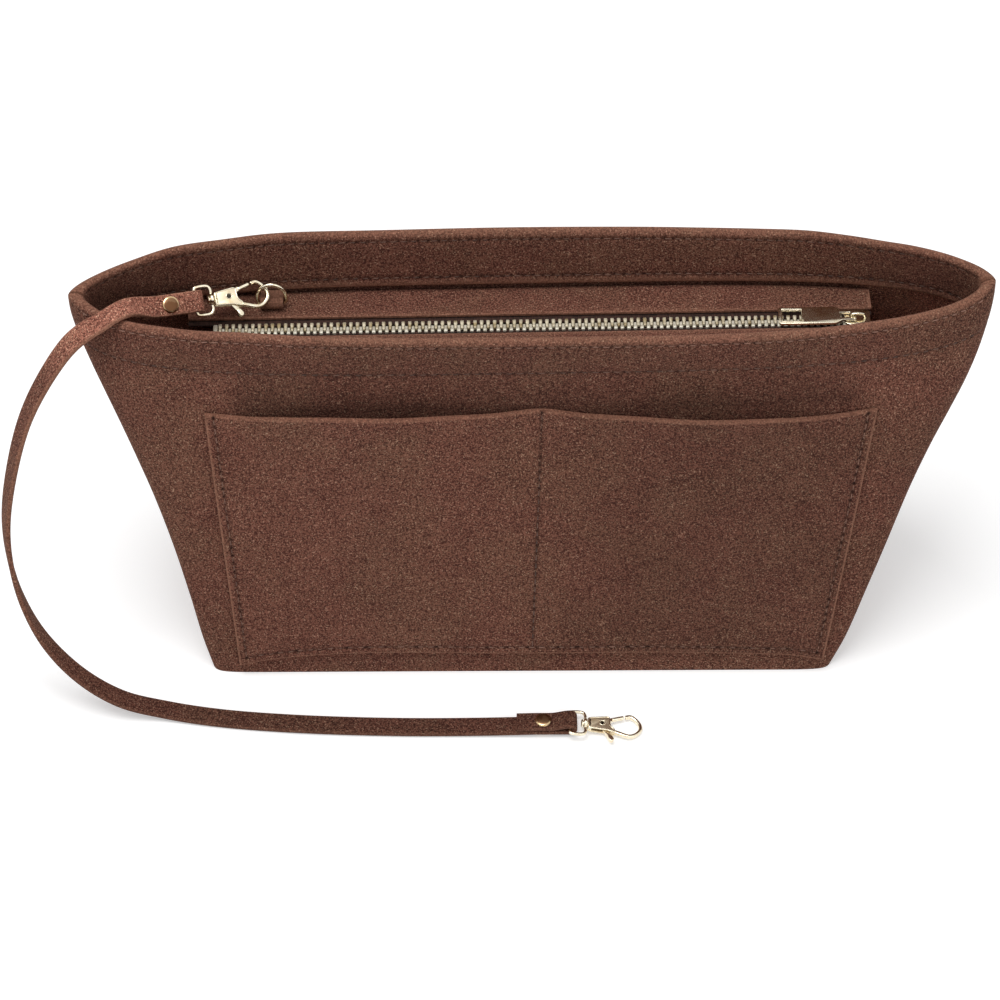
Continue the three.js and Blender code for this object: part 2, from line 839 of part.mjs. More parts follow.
// The strap's eye: a wire bow on a drilled collar.
function swivelEye() {
  const half = strapWidth / 2 + eyeRoom + eyeWire / 2;
  const middle = collarHead + collarLength / 2;
  const bar = -eyeReach;
  const arm = (side) => [
    vec(middle, side * eyeRoot, 0),
    vec(middle, side * (half - eyeShoulder), 0),
    vec(middle - eyeCorner, side * half, 0),
    vec(bar + eyeCorner, side * half, 0),
    vec(bar, side * (half - eyeCorner), 0),
  ];
  const bow = wire([...arm(-1), ...arm(1).toReversed()], eyeWire, 36);
  const collar = rod(collarWidth, collarLength, 20).rotateZ(Math.PI / 2).translate(middle, 0, 0);
  const bore = rod(shankDiameter + 2 * gap, 2 * collarLength).rotateZ(Math.PI / 2);
  return cut(joined(bow, collar), bore.translate(middle, 0, 0));
}

// The hook: a claw on a slotted body, with the shank and its peened head behind.
function hook() {
  const curved = (points) => new THREE.SplineCurve(points.map(([x, y]) => new THREE.Vector2(x, y)));
  const outer = curved(clawOuter).getPoints(24);
  const inner = curved(clawInner).getPoints(24);
  const claw = plate([...inner, ...outer.toReversed()].map(({ x, y }) => [x, y]), clawWire);
  const body = plate(bodyOutline, claspPlate);
  const shankEnd = collarHead - gap;
  const shank = rod(shankDiameter, -shankEnd).rotateZ(Math.PI / 2);
  shank.translate(shankEnd / 2 - bodyWall, 0, 0);
  const head = rod(headDiameter, shankHead).rotateZ(Math.PI / 2);
  head.translate(shankEnd - shankHead / 2, 0, 0);
  const reach = claspPlate;
  const room = gateThickness + 2 * gap;
  const slot = plate(gateSlot, room);
  const pinHole = rod(pivotDiameter + 2 * gap, 2 * reach).rotateX(Math.PI / 2);
  const solid = [claw, body].map(solidOf).reduce((all, one) => all.add(one));
  const open = solid.subtract(solidOf(slot)).subtract(solidOf(pinHole));
  const back = block([shankEnd - shankHead, -reach, -reach], [-bodyReach + bodyWall, reach, reach]);
  const stem = [shank, head].map(solidOf).reduce((all, one) => all.add(one)).intersect(solidOf(back));
  return geometryOf(open.add(stem));
}

// The gate: a thin plate in the body's slot, thicker along its arm and at the thumb lever.
function gate() {
  const hub = rod(2 * gateHub, gateThickness, 20).rotateX(Math.PI / 2);
  const parts = [hub, plate(gateArm, gateThickness), plate(gateLever, gateThickness)];
  parts.push(plate(gateArmThick, clawWire), plate(gateThumb, clawWire));
  const pinHole = rod(pivotDiameter + 2 * gap, 2 * clawWire).rotateX(Math.PI / 2);
  return cut(joined(...parts), pinHole);
}

const gatePin = () => rod(pivotDiameter, claspPlate).rotateX(Math.PI / 2);
const gateSpring = () => plate(springOutline, gateThickness);

// The strap's route, with its doubled ends folded round the eyes' bars.
const foldRadius = eyeWire / 2 + gap + strapFelt / 2;
const layerStep = strapFelt + gap;
const strapEnds = {
  near: {
    bar: clasps.near.pivot.clone().addScaledVector(clasps.near.along, -eyeReach),
    away: clasps.near.along.clone().negate(),
    across: clasps.near.across,
    outward: clasps.near.up,
  },
  far: {
    bar: clasps.far.pivot.clone().addScaledVector(clasps.far.along, -eyeReach),
    away: vec(-1, 0, 0),
    across: clasps.far.across,
    outward: vec(0, 0, -1),
  },
};
const straightRun = [0, 4, 8, rivetPlace, rivetPlace + 3];

function endPoints({ bar, away, across, outward }) {
  return straightRun.map((run) => ({
    spot: bar.clone().addScaledVector(outward, foldRadius).addScaledVector(away, run),
    across,
  }));
}

const strapPoints = [
  ...endPoints(strapEnds.near),
  ...strapRoute.map(([x, y, z, ...across]) => ({ spot: vec(x, y, z), across: vec(...across).normalize() })),
  ...endPoints(strapEnds.far).toReversed(),
];
const strapLine = new THREE.CatmullRomCurve3(strapPoints.map(({ spot }) => spot), false, "centripetal");
const strapAcross = new THREE.CatmullRomCurve3(strapPoints.map(({ across }) => across), false, "centripetal");
strapLine.arcLengthDivisions = 600;
const strapRun = strapLine.getLength();

function stationAt(part) {
  const centre = strapLine.getPoint(part);
  const along = strapLine.getTangent(part);
  const across = strapAcross.getPoint(part);
  across.addScaledVector(along, -across.dot(along)).normalize();
  return { centre, across, outward: across.clone().cross(along) };
}

// A place on the strap's main layer, a given run in from one of its bars.
function stationFrom(end, run) {
  const share = run / strapRun;
  return stationAt(strapLine.getUtoTmapping(end === "near" ? share : 1 - share));
}

function flapStation(end, run) {
  const { centre, across, outward } = stationFrom(end, run);
  const apart = lerp(2 * foldRadius, layerStep, THREE.MathUtils.smoothstep(run, 0, rivetPlace - 3));
  return { centre: centre.addScaledVector(outward, -apart), across, outward: outward.negate() };
}

function wrapStation(end, turn) {
  const { bar, away, across, outward } = strapEnds[end];
  const facing = outward.clone().multiplyScalar(Math.cos(turn)).addScaledVector(away, -Math.sin(turn));
  return { centre: bar.clone().addScaledVector(facing, foldRadius), across, outward: facing };
}

// The whole strap as one ribbon, from the near flap's end round to the far flap's end.
function strapStations() {
  const flapRuns = Array.from({ length: 9 }, (_, step) => (flapLength * (step + 1)) / 9);
  const turns = Array.from({ length: 9 }, (_, step) => (Math.PI * (step + 0.5)) / 9);
  const steps = 4 * (strapPoints.length - 1);
  return [
    ...flapRuns.toReversed().map((run) => flapStation("near", run)),
    ...turns.toReversed().map((turn) => wrapStation("near", turn)),
    ...Array.from({ length: steps + 1 }, (_, step) => stationAt(step / steps)),
    ...turns.map((turn) => wrapStation("far", turn)),
    ...flapRuns.map((run) => flapStation("far", run)),
  ];
}

// Place and directions of a rivet, at the middle of the two strap layers.
function rivetFrame(end) {
  const { centre, across, outward } = stationFrom(end, rivetPlace);
  const spot = centre.addScaledVector(outward, -layerStep / 2);
  return new THREE.Matrix4().makeBasis(across.clone().cross(outward), across, outward).setPosition(spot);
}

function keyStrap() {
  const corners = [
    [-1, -1],
    [1, -1],
    [1, 1],
    [-1, 1],
  ];
  const stations = strapStations();
  const points = stations.flatMap(({ centre, across, outward }) =>
    corners.map(([side, face]) => {
      const spot = centre.clone().addScaledVector(across, (side * strapWidth) / 2);
      return spot.addScaledVector(outward, (face * strapFelt) / 2).toArray();
    }),
  );
  const last = points.length - 4;
  const ends = [2, 1, 0, 3, 2, 0, last, last + 1, last + 2, last, last + 2, last + 3];
  const ribbon = shell(points, [...gridFaces(stations.length, 4, false, true), ...ends]);
  const holes = ["near", "far"].map((end) => {
    const hole = rod(rivetPost + 2 * gap, 3 * layerStep).rotateX(Math.PI / 2);
    return hole.applyMatrix4(rivetFrame(end));
  });
  return cut(ribbon, ...holes);
}

// A domed rivet cap with its post, and the domed back it is closed on.
const rivetSeat = layerStep / 2 + strapFelt / 2 + gap;
const domeSteps = 4;
const domeRim = 0.3 * rivetDome;
const domeProfile = [
  [rivetHead / 2, rivetSeat],
  ...Array.from({ length: domeSteps }, (_, step) => {
    const turn = (step / domeSteps) * (Math.PI / 2);
    return [(rivetHead / 2) * Math.cos(turn), rivetSeat + domeRim + (rivetDome - domeRim) * Math.sin(turn)];
  }),
  [0, rivetSeat + rivetDome],
];
const lathe = (profile) => new THREE.LatheGeometry(profile.map(([r, z]) => new THREE.Vector2(r, z)), 24);

function rivetCap() {
  const post = [
    [0, gap - rivetSeat],
    [rivetPost / 2, gap - rivetSeat],
    [rivetPost / 2, rivetSeat],
  ];
  return lathe([...post, ...domeProfile]).rotateX(Math.PI / 2);
}

const rivetBack = () => lathe([[0, rivetSeat], ...domeProfile]).rotateX(-Math.PI / 2);

// Assembly
const pouch = new THREE.Group();
pouch.name = "bag_organizer_pouch";

function add(name, geometry, finish, parent = pouch) {
  const part = new THREE.Mesh(geometry, new THREE.MeshStandardMaterial(colours[finish]));
  part.name = name;
  parent.add(part);
  return part;
}

const [frontPanel, backPanel] = wallPair();
add("front_panel", frontPanel, "felt");
add("back_panel", backPanel, "felt");
add("base_panel", basePanel(), "felt");
add("front_pocket", pocketPanel(-1), "felt");
add("back_pocket", pocketPanel(1), "felt");

const lid = new THREE.Group();
lid.position.set((rimLean * lidHeight) / height, 0, lidHeight);
lid.rotation.z = (rimTurn * lidHeight) / height;
pouch.add(lid);
for (const [name, side] of [["front", -1], ["rear", 1]]) {
  add(`${name}_zip_strip`, lidStrip(side), "felt", lid);
  add(`${name}_zip_tape`, zipTape(side), "tape", lid);
  add(`${name}_teeth`, zipTeeth(side), "teeth", lid);
  add(`${name}_top_stop`, zipStop(chainEnd + gap, side), "teeth", lid);
}
add("bottom_stop", bottomStop(), "teeth", lid);
add("slider_body", sliderBody(), "gold", lid).position.set(sliderX, zipY, 0);
const puller = add("puller", pullerPlate(), "gold", lid);
puller.position.set(sliderX + pullerPivot[0], zipY + pullerPivot[1], pullerPivot[2]);
add("ring_tab", ringTab(), "felt", lid).position.x = tabPlace;
add("tab_ring", dRing(), "gold", lid).position.set(tabPlace, ringBarY, ringBarHeight);

add("key_strap", keyStrap(), "felt");
for (const end of ["near", "far"]) {
  add(`${end}_rivet_cap`, rivetCap().applyMatrix4(rivetFrame(end)), "gold");
  add(`${end}_rivet_back`, rivetBack().applyMatrix4(rivetFrame(end)), "gold");
  const { pivot, along, across, up, swivel } = clasps[end];
  const clasp = new THREE.Matrix4().makeBasis(along, across, up).setPosition(pivot);
  add(`${end}_swivel_eye`, swivelEye().applyMatrix4(clasp), "gold");
  clasp.multiply(new THREE.Matrix4().makeRotationX(swivel));
  add(`${end}_hook`, hook().applyMatrix4(clasp), "gold");
  add(`${end}_gate`, gate().applyMatrix4(clasp), "gold");
  add(`${end}_gate_pin`, gatePin().applyMatrix4(clasp), "steel");
  add(`${end}_gate_spring`, gateSpring().applyMatrix4(clasp), "steel");
}

export default pouch;
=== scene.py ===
"""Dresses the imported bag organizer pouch: felt body, slip pockets, zip lid, D-ring tab and key strap.

Shapes are worked out in millimetres in the part's own frame (+X along the zip, -Y to the front,
+Z up, origin under the middle of the base) and are put into Blender in metres.
"""

from __future__ import annotations

import logging
from dataclasses import dataclass, field
from enum import Enum

import bpy
import numpy as np
from mathutils import Matrix

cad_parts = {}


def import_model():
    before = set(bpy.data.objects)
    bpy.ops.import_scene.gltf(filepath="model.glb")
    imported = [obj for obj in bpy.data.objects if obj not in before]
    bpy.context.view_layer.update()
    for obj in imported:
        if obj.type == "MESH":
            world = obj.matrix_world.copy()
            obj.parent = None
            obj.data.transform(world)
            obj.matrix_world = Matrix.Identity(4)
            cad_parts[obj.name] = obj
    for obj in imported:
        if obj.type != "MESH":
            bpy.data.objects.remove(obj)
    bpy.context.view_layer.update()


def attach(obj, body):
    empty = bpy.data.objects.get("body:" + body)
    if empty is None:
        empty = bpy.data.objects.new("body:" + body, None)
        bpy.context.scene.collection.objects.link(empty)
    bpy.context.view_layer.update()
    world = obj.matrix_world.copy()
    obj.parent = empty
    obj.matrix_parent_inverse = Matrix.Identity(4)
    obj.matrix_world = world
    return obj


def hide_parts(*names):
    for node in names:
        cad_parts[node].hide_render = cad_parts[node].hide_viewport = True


log = logging.getLogger("pouch")
MM = 0.001
SHARP_ANGLE = 48
LEVELS = 160
STITCH_RINGS = 7
STITCH_SIDES = 6
STITCH_REACH = 0.33
STITCH_LIFT = 0.2
STITCH_SINK = 0.62
THREAD_RADIUS = 0.27
UP = np.array([0, 0, 1.0])
Array = np.ndarray
Socket = bpy.types.NodeSocket
Colour = tuple[float, float, float, float]
Shade = tuple[int, int, int]
Point = tuple[float, float, float]
Knots = tuple[tuple[float, float], ...]


class Side(Enum):
    """Which wall a piece belongs to, as the sign of its Y."""

    FRONT = -1
    BACK = 1


class End(Enum):
    """Which end of the key strap a piece is at."""

    NEAR = "near"
    FAR = "far"


def linear(red: int, green: int, blue: int) -> Colour:
    """An sRGB colour of 0 to 255 as Blender's linear RGBA.

    Args:
        red: the red share.
        green: the green share.
        blue: the blue share.

    Returns:
        The linear colour, fully opaque.
    """
    share = np.array([red, green, blue]) / 255
    low, high = share / 12.92, ((share + 0.055) / 1.055) ** 2.4
    value = np.where(share <= 0.04045, low, high)
    return (float(value[0]), float(value[1]), float(value[2]), 1.0)


class Nodes:
    """A small writer for shader node trees."""

    def __init__(self, name: str) -> None:
        """Starts a material with only an output and a Principled shader.

        Args:
            name: the material's name.
        """
        self.material = bpy.data.materials.new(name)
        self.material.use_nodes = True
        self.tree = self.material.node_tree
        self.tree.nodes.clear()
        self.shader = self.tree.nodes.new("ShaderNodeBsdfPrincipled")
        output = self.tree.nodes.new("ShaderNodeOutputMaterial")
        self.tree.links.new(self.shader.outputs[0], output.inputs[0])
        self.coords = self.tree.nodes.new("ShaderNodeTexCoord").outputs["Object"]

    def link(self, source: Socket, target: Socket) -> None:
        """Joins two sockets."""
        self.tree.links.new(source, target)

    def noise(
        self, scale: float, detail: float = 2, distortion: float = 0, source: Socket | None = None
    ) -> Socket:
        """Noise of so many features to the metre, about 0.5 on average.

        Args:
            scale: features to the metre.
            detail: how many finer layers are added.
            distortion: how far the pattern is bent.
            source: the coordinates it reads, the object's own if none are given.

        Returns:
            The noise's value.
        """
        node = self.tree.nodes.new("ShaderNodeTexNoise")
        node.inputs["Scale"].default_value = scale
        node.inputs["Detail"].default_value = detail
        node.inputs["Distortion"].default_value = distortion
        self.link(source or self.coords, node.inputs["Vector"])
        return node.outputs["Fac"]

    def stretched(self, scale: Point, turn: Point = (0, 0, 0)) -> Socket:
        """Object coordinates, scaled and turned.

        Args:
            scale: the factor along each axis.
            turn: the turn about each axis in radians.

        Returns:
            The coordinates.
        """
        node = self.tree.nodes.new("ShaderNodeMapping")
        node.inputs["Scale"].default_value = scale
        node.inputs["Rotation"].default_value = turn
        self.link(self.coords, node.inputs["Vector"])
        return node.outputs["Vector"]

    def maths(self, operation: str, *values: Socket | float, clamp: bool = False) -> Socket:
        """A Math node fed with sockets or numbers.

        Args:
            operation: what the node does.
            *values: its inputs in order.
            clamp: holds the result within 0 and 1.

        Returns:
            The node's result.
        """
        node = self.tree.nodes.new("ShaderNodeMath")
        node.operation = operation
        node.use_clamp = clamp
        for place, value in enumerate(values):
            if isinstance(value, (int, float)):
                node.inputs[place].default_value = value
            else:
                self.link(value, node.inputs[place])
        return node.outputs[0]

    def spread(self, value: Socket, low: float, high: float) -> Socket:
        """Maps low..high smoothly to 0..1.

        Args:
            value: what is mapped.
            low: the value that gives 0.
            high: the value that gives 1.

        Returns:
            The mapped value.
        """
        node = self.tree.nodes.new("ShaderNodeMapRange")
        node.interpolation_type = "SMOOTHSTEP"
        node.inputs["From Min"].default_value = low
        node.inputs["From Max"].default_value = high
        self.link(value, node.inputs["Value"])
        return node.outputs["Result"]

    def blend(self, share: Socket | float, first: Socket | Colour, second: Socket | Colour) -> Socket:
        """Mixes two colours or sockets by a share.

        Args:
            share: how much of the second there is.
            first: the colour at 0.
            second: the colour at 1.

        Returns:
            The mixed colour.
        """
        node = self.tree.nodes.new("ShaderNodeMix")
        node.data_type = "RGBA"
        for value, place in ((share, 0), (first, 6), (second, 7)):
            if isinstance(value, (int, float, tuple)):
                node.inputs[place].default_value = value
            else:
                self.link(value, node.inputs[place])
        return node.outputs[2]

    def scaled(self, colour: Socket, factor: Socket) -> Socket:
        """A colour made lighter or darker by a factor.

        Args:
            colour: the colour.
            factor: the factor.

        Returns:
            The scaled colour.
        """
        node = self.tree.nodes.new("ShaderNodeVectorMath")
        node.operation = "SCALE"
        self.link(colour, node.inputs["Vector"])
        self.link(factor, node.inputs["Scale"])
        return node.outputs["Vector"]

    def times(self, first: Socket, second: Socket) -> Socket:
        """Two colours multiplied channel by channel.

        Args:
            first: one colour.
            second: the other.

        Returns:
            Their product.
        """
        node = self.tree.nodes.new("ShaderNodeVectorMath")
        node.operation = "MULTIPLY"
        self.link(first, node.inputs[0])
        self.link(second, node.inputs[1])
        return node.outputs["Vector"]

    def attribute(self, name: str) -> Socket:
        """A float attribute of the mesh.

        Args:
            name: the attribute's name.

        Returns:
            Its value.
        """
        node = self.tree.nodes.new("ShaderNodeAttribute")
        node.attribute_name = name
        return node.outputs["Fac"]

    def bump(self, height: Socket, strength: float, distance: float) -> None:
        """Puts a height on the shader's normal, distance in metres.

        Args:
            height: the height, 0 to 1.
            strength: how much of it shows.
            distance: how far 1 stands out.
        """
        node = self.tree.nodes.new("ShaderNodeBump")
        node.inputs["Strength"].default_value = strength
        node.inputs["Distance"].default_value = distance
        self.link(height, node.inputs["Height"])
        self.link(node.outputs["Normal"], self.shader.inputs["Normal"])

    def constant(self, **values: float | Colour) -> None:
        """Sets the shader's own sockets, underscores standing for spaces."""
        for name, value in values.items():
            self.shader.inputs[name.replace("_", " ")].default_value = value


@dataclass(frozen=True)
class FeltFinish:
    """Needled felt: mottled grain, curled fibres, paler edges and dark stitch holes; the pale edges are
    partly raw fibres and partly painted highlight, the dark holes painted shade.
    """

    name: str = "felt"
    ground: Shade = (95, 59, 49)
    dark: Shade = (59, 32, 26)
    pale: Shade = (137, 92, 76)
    fleck: Shade = (200, 160, 134)
    # raw: pale edge colour, raw felt that partly stands in for a painted highlight; hole: colour of the
    # painted shade in stitch grooves and holes.
    raw: Shade = (188, 138, 112)
    hole: Shade = (20, 11, 9)
    sheen: Shade = (196, 158, 138)
    reddish: Colour = (1.02, 0.98, 0.985, 1)
    greenish: Colour = (0.98, 1.015, 0.985, 1)
    grain: float = 1350
    fibres: float = 560
    spots: float = 1500
    patches: float = 60
    clouds: float = 30

    def build(self) -> bpy.types.Material:
        """The felt: three summed noises pick dark or pale, and thin contours of a bent noise are fibres.

        Small pale spots and two faint tints lie over them. The mesh's own marks lighten or darken it by tone,
        which is painted light and shade, turn it to pale raw felt by edge, partly a painted highlight,
        and to a needle hole by hole, which is painted shade in the stitch grooves and holes.

        Returns:
            The material.
        """
        nodes = Nodes(self.name)
        grain = nodes.noise(self.grain, 2)
        share = nodes.maths("MULTIPLY", grain, 0.62)
        share = nodes.maths("ADD", share, nodes.maths("MULTIPLY", nodes.noise(self.grain * 2.1, 1), 0.3))
        share = nodes.maths("ADD", share, nodes.maths("MULTIPLY", nodes.noise(self.patches, 3), 0.08))
        colour = nodes.blend(nodes.spread(share, 0.42, 0.59), linear(*self.dark), linear(*self.pale))
        colour = nodes.blend(0.2, colour, linear(*self.ground))
        line = nodes.maths("ABSOLUTE", nodes.maths("SUBTRACT", nodes.noise(self.fibres, 3, 1.6), 0.5))
        thin = nodes.maths("SUBTRACT", 1.0, nodes.spread(line, 0.004, 0.016))
        where = nodes.spread(nodes.noise(self.fibres * 1.7, 2), 0.5, 0.62)
        fibre = nodes.maths("MULTIPLY", thin, where)
        colour = nodes.blend(nodes.maths("MULTIPLY", fibre, 0.4), colour, linear(*self.fleck))
        spot = nodes.spread(nodes.noise(self.spots, 1), 0.635, 0.69)
        colour = nodes.blend(nodes.maths("MULTIPLY", spot, 0.62), colour, linear(*self.fleck))
        cloud = nodes.spread(nodes.noise(self.clouds, 3), 0.4, 0.6)
        tint = nodes.blend(cloud, self.reddish, self.greenish)
        colour = nodes.times(colour, tint)
        # Tone: painted light and shade, and each stitch's own random shade.
        colour = nodes.scaled(colour, nodes.maths("ADD", nodes.attribute("tone"), 1.0))
        # Edge: pale raw felt, partly a painted highlight.
        edge = nodes.maths("MULTIPLY", nodes.attribute("edge"), 0.75, clamp=True)
        colour = nodes.blend(edge, colour, nodes.blend(grain, linear(*self.ground), linear(*self.raw)))
        # Hole: painted shade in the stitch grooves and needle holes.
        hole = nodes.maths("MULTIPLY", nodes.attribute("hole"), 0.92, clamp=True)
        colour = nodes.blend(hole, colour, linear(*self.hole))
        nodes.link(colour, nodes.shader.inputs["Base Color"])
        height = nodes.maths("ADD", nodes.maths("MULTIPLY", grain, 1.0), nodes.maths("MULTIPLY", fibre, 0.5))
        nodes.bump(height, 0.55, 0.0006)
        nodes.constant(Roughness=0.96, Specular_IOR_Level=0.12, Sheen_Weight=0.12, Sheen_Roughness=0.45)
        nodes.constant(Sheen_Tint=linear(*self.sheen))
        return nodes.material


@dataclass(frozen=True)
class ThreadFinish:
    """Twisted sewing thread, a shade from the felt's."""

    name: str = "thread"
    colour: Shade = (158, 116, 98)
    shadow: float = 0.62
    plies: float = 2600

    def build(self) -> bpy.types.Material:
        """The thread: fine slanted ply lines in bump and colour, lighter or darker by the mesh's tone, which
        is the row's painted light and shade and each stitch's own random shade.

        Returns:
            The material.
        """
        nodes = Nodes(self.name)
        ply = nodes.noise(self.plies, 1, 0, nodes.stretched((1, 1, 0.35), (0.5, 0.4, 0.6)))
        dark = tuple(int(part * self.shadow) for part in self.colour)
        shade = nodes.blend(ply, linear(*dark), linear(*self.colour))
        # Tone: the row's painted light and shade, and each stitch's random shade.
        shade = nodes.scaled(shade, nodes.maths("ADD", nodes.attribute("tone"), 1.0))
        nodes.link(shade, nodes.shader.inputs["Base Color"])
        nodes.bump(ply, 0.5, 0.0002)
        nodes.constant(Roughness=0.7, Specular_IOR_Level=0.3, Sheen_Weight=0.15)
        return nodes.material


@dataclass(frozen=True)
class TapeFinish:
    """Woven zip tape: warp ribs along the zip, crossed by fine weft."""

    name: str = "zip tape"
    colour: Shade = (52, 35, 29)
    shadow: float = 0.6
    light: float = 1.45
    yarns: float = 1500
    turn: float = -0.0163

    def build(self) -> bpy.types.Material:
        """The tape: two stretched noises, one along and one across the turned zip, halved and added.

        Returns:
            The material.
        """
        nodes = Nodes(self.name)
        turn = (0, 0, self.turn)
        warp = nodes.noise(self.yarns, 1, 0, nodes.stretched((0.12, 1.3, 1), turn))
        weft = nodes.noise(self.yarns, 1, 0, nodes.stretched((1.5, 0.2, 1), turn))
        weave = nodes.maths("MULTIPLY", nodes.maths("ADD", warp, weft), 0.5)
        dark = tuple(int(part * self.shadow) for part in self.colour)
        pale = tuple(int(part * self.light) for part in self.colour)
        shade = nodes.blend(nodes.spread(weave, 0.35, 0.65), linear(*dark), linear(*pale))
        nodes.link(shade, nodes.shader.inputs["Base Color"])
        nodes.bump(weave, 0.7, 0.0003)
        nodes.constant(Roughness=0.85, Specular_IOR_Level=0.2, Sheen_Weight=0.1)
        return nodes.material


@dataclass(frozen=True)
class MetalFinish:
    """Metal, plated or bare, with fine polish lines and faint tarnish in patches."""

    name: str
    colour: Shade
    tarnish: Shade
    roughness: float
    scratch: float = 0.12
    metallic: float = 1.0
    # How far satin places turn to the tarnish colour: painted reflection on cheeks and domes, painted shade
    # on teeth.
    painted_dark_share: float = 0.4
    satin: float = 0.22
    patches: float = 260
    lines: float = 1800

    def build(self) -> bpy.types.Material:
        """The metal: a cloudy tarnish, and roughness and bump from stretched polish lines.

        Where the mesh's satin mark is 1 the roughness grows by satin, and the colour turns further to the
        tarnish
        colour: painted reflection of the felt on hook cheeks and rivet domes, painted shade on the rear
        teeth.

        Returns:
            The material.
        """
        nodes = Nodes(self.name)
        satin = nodes.attribute("satin")
        cloud = nodes.maths("MULTIPLY", nodes.spread(nodes.noise(self.patches, 3), 0.42, 0.7), 0.5)
        # Satin places darken: painted reflection and painted shade.
        cloud = nodes.maths("ADD", cloud, nodes.maths("MULTIPLY", satin, self.painted_dark_share), clamp=True)
        colour = nodes.blend(cloud, linear(*self.colour), linear(*self.tarnish))
        nodes.link(colour, nodes.shader.inputs["Base Color"])
        lines = nodes.noise(self.lines, 2, 0.2, nodes.stretched((0.25, 2.2, 1.4), (0, 0, 0.5)))
        rough = nodes.maths("ADD", self.roughness - 0.05, nodes.maths("MULTIPLY", lines, self.scratch))
        rough = nodes.maths("ADD", rough, nodes.maths("MULTIPLY", satin, self.satin), clamp=True)
        nodes.link(rough, nodes.shader.inputs["Roughness"])
        nodes.bump(lines, 0.05, 0.0001)
        nodes.constant(Metallic=self.metallic)
        return nodes.material


class Finish(Enum):
    """Every finish on the pouch."""

    FELT = FeltFinish()
    THREAD = ThreadFinish()
    TAPE = TapeFinish()
    # Satin-marked pieces darken: painted reflection of the felt on hook cheeks (GOLD) and rivet domes
    # (ANTIQUE), painted shade on the rear teeth (TEETH).
    GOLD = MetalFinish("pale gold", (244, 234, 210), (208, 184, 142), 0.17)
    ANTIQUE = MetalFinish("antique brass", (222, 192, 150), (104, 72, 50), 0.16, painted_dark_share=0.9)
    TEETH = MetalFinish("zip metal", (246, 240, 222), (160, 142, 106), 0.38, metallic=0.45, painted_dark_share=0.55)
    STEEL = MetalFinish("spring steel", (186, 186, 182), (140, 136, 128), 0.32)
    PIN = MetalFinish("blackened steel", (62, 56, 50), (34, 30, 27), 0.36)


_made: dict[Finish, bpy.types.Material] = {}


def finish(kind: Finish) -> bpy.types.Material:
    """The material of a finish, made once.

    Args:
        kind: the finish.

    Returns:
        Its material.
    """
    if kind not in _made:
        _made[kind] = kind.value.build()
    return _made[kind]


def smooth(share: Array | float) -> Array | float:
    """Smoothstep: three t squared less two t cubed, with t held within 0 and 1."""
    held = np.clip(share, 0, 1)
    return held * held * (3 - 2 * held)


def unit(vectors: Array) -> Array:
    """Vectors divided by their lengths."""
    return vectors / np.maximum(np.linalg.norm(vectors, axis=-1, keepdims=True), 1e-12)


@dataclass
class Shape:
    """Points in millimetres, with quads and larger faces over them."""

    points: Array
    quads: Array
    caps: list[list[int]] = field(default_factory=list)
    marks: dict[str, Array] = field(default_factory=dict)

    def moved(self, matrix: Array) -> "Shape":
        """The shape after a 4 by 4 matrix."""
        points = self.points @ matrix[:3, :3].T + matrix[:3, 3]
        return Shape(points, self.quads, self.caps, self.marks)

    def volume(self) -> float:
        """Signed volume from triangles fanned over each face.

        Returns:
            Six times the volume, in cubic millimetres, positive where the faces point outwards.
        """
        a, b, c, d = (self.points[self.quads[:, i]] for i in range(4))
        total = np.einsum("ij,ij->", a, np.cross(b, c)) + np.einsum("ij,ij->", a, np.cross(c, d))
        for cap in self.caps:
            corner = self.points[cap]
            first = np.broadcast_to(corner[0], corner[1:-1].shape)
            total += np.einsum("ij,ij->", first, np.cross(corner[1:-1], corner[2:]))
        return float(total)

    def outward(self) -> "Shape":
        """The shape with its faces turned outwards.

        Returns:
            The shape itself, or a copy with every face reversed.
        """
        if self.volume() >= 0:
            return self
        return Shape(self.points, self.quads[:, ::-1], [cap[::-1] for cap in self.caps], self.marks)


def joined(shapes: list[Shape]) -> Shape:
    """Several shapes as one, each with its faces turned outwards.

    Args:
        shapes: the shapes, whose marks are 0 where they have none.

    Returns:
        One shape.
    """
    points, quads, caps, start = [], [], [], 0
    marks: dict[str, list[Array]] = {}
    names = {name for shape in shapes for name in shape.marks}
    for shape in (one.outward() for one in shapes):
        points.append(shape.points)
        quads.append(shape.quads + start)
        caps += [[corner + start for corner in cap] for cap in shape.caps]
        for name in names:
            marks.setdefault(name, []).append(shape.marks.get(name, np.zeros(len(shape.points))))
        start += len(shape.points)
    merged = {name: np.concatenate(rows) for name, rows in marks.items()}
    return Shape(np.vstack(points), np.vstack(quads), caps, merged)


def grid_quads(rows: int, columns: int, wrap_rows: bool = False, wrap_columns: bool = False) -> Array:
    """Quads of a grid of points, closed round in either direction where asked.

    Args:
        rows: how many rows of points there are.
        columns: how many points a row has.
        wrap_rows: joins the last row to the first.
        wrap_columns: joins each row's end to its start.

    Returns:
        Four point numbers for each quad.
    """
    row = np.arange(rows if wrap_rows else rows - 1)[:, None]
    column = np.arange(columns if wrap_columns else columns - 1)[None, :]
    down, right = (row + 1) % rows, (column + 1) % columns
    corners = [row * columns + column, row * columns + right, down * columns + right, down * columns + column]
    return np.stack([corner.ravel() for corner in np.broadcast_arrays(*corners)], axis=1)


def loft(rings: Array, wrap: bool = False) -> Shape:
    """Closed rings of points joined one to the next, capped at both ends or joined round.

    Args:
        rings: the rings, as rows of points.
        wrap: joins the last ring to the first in place of the caps.

    Returns:
        The closed shape.
    """
    rows, columns = rings.shape[:2]
    quads = grid_quads(rows, columns, wrap, True)
    last = (rows - 1) * columns
    ends = [] if wrap else [list(range(columns))[::-1], list(range(last, last + columns))]
    return Shape(rings.reshape(-1, 3), quads, ends)


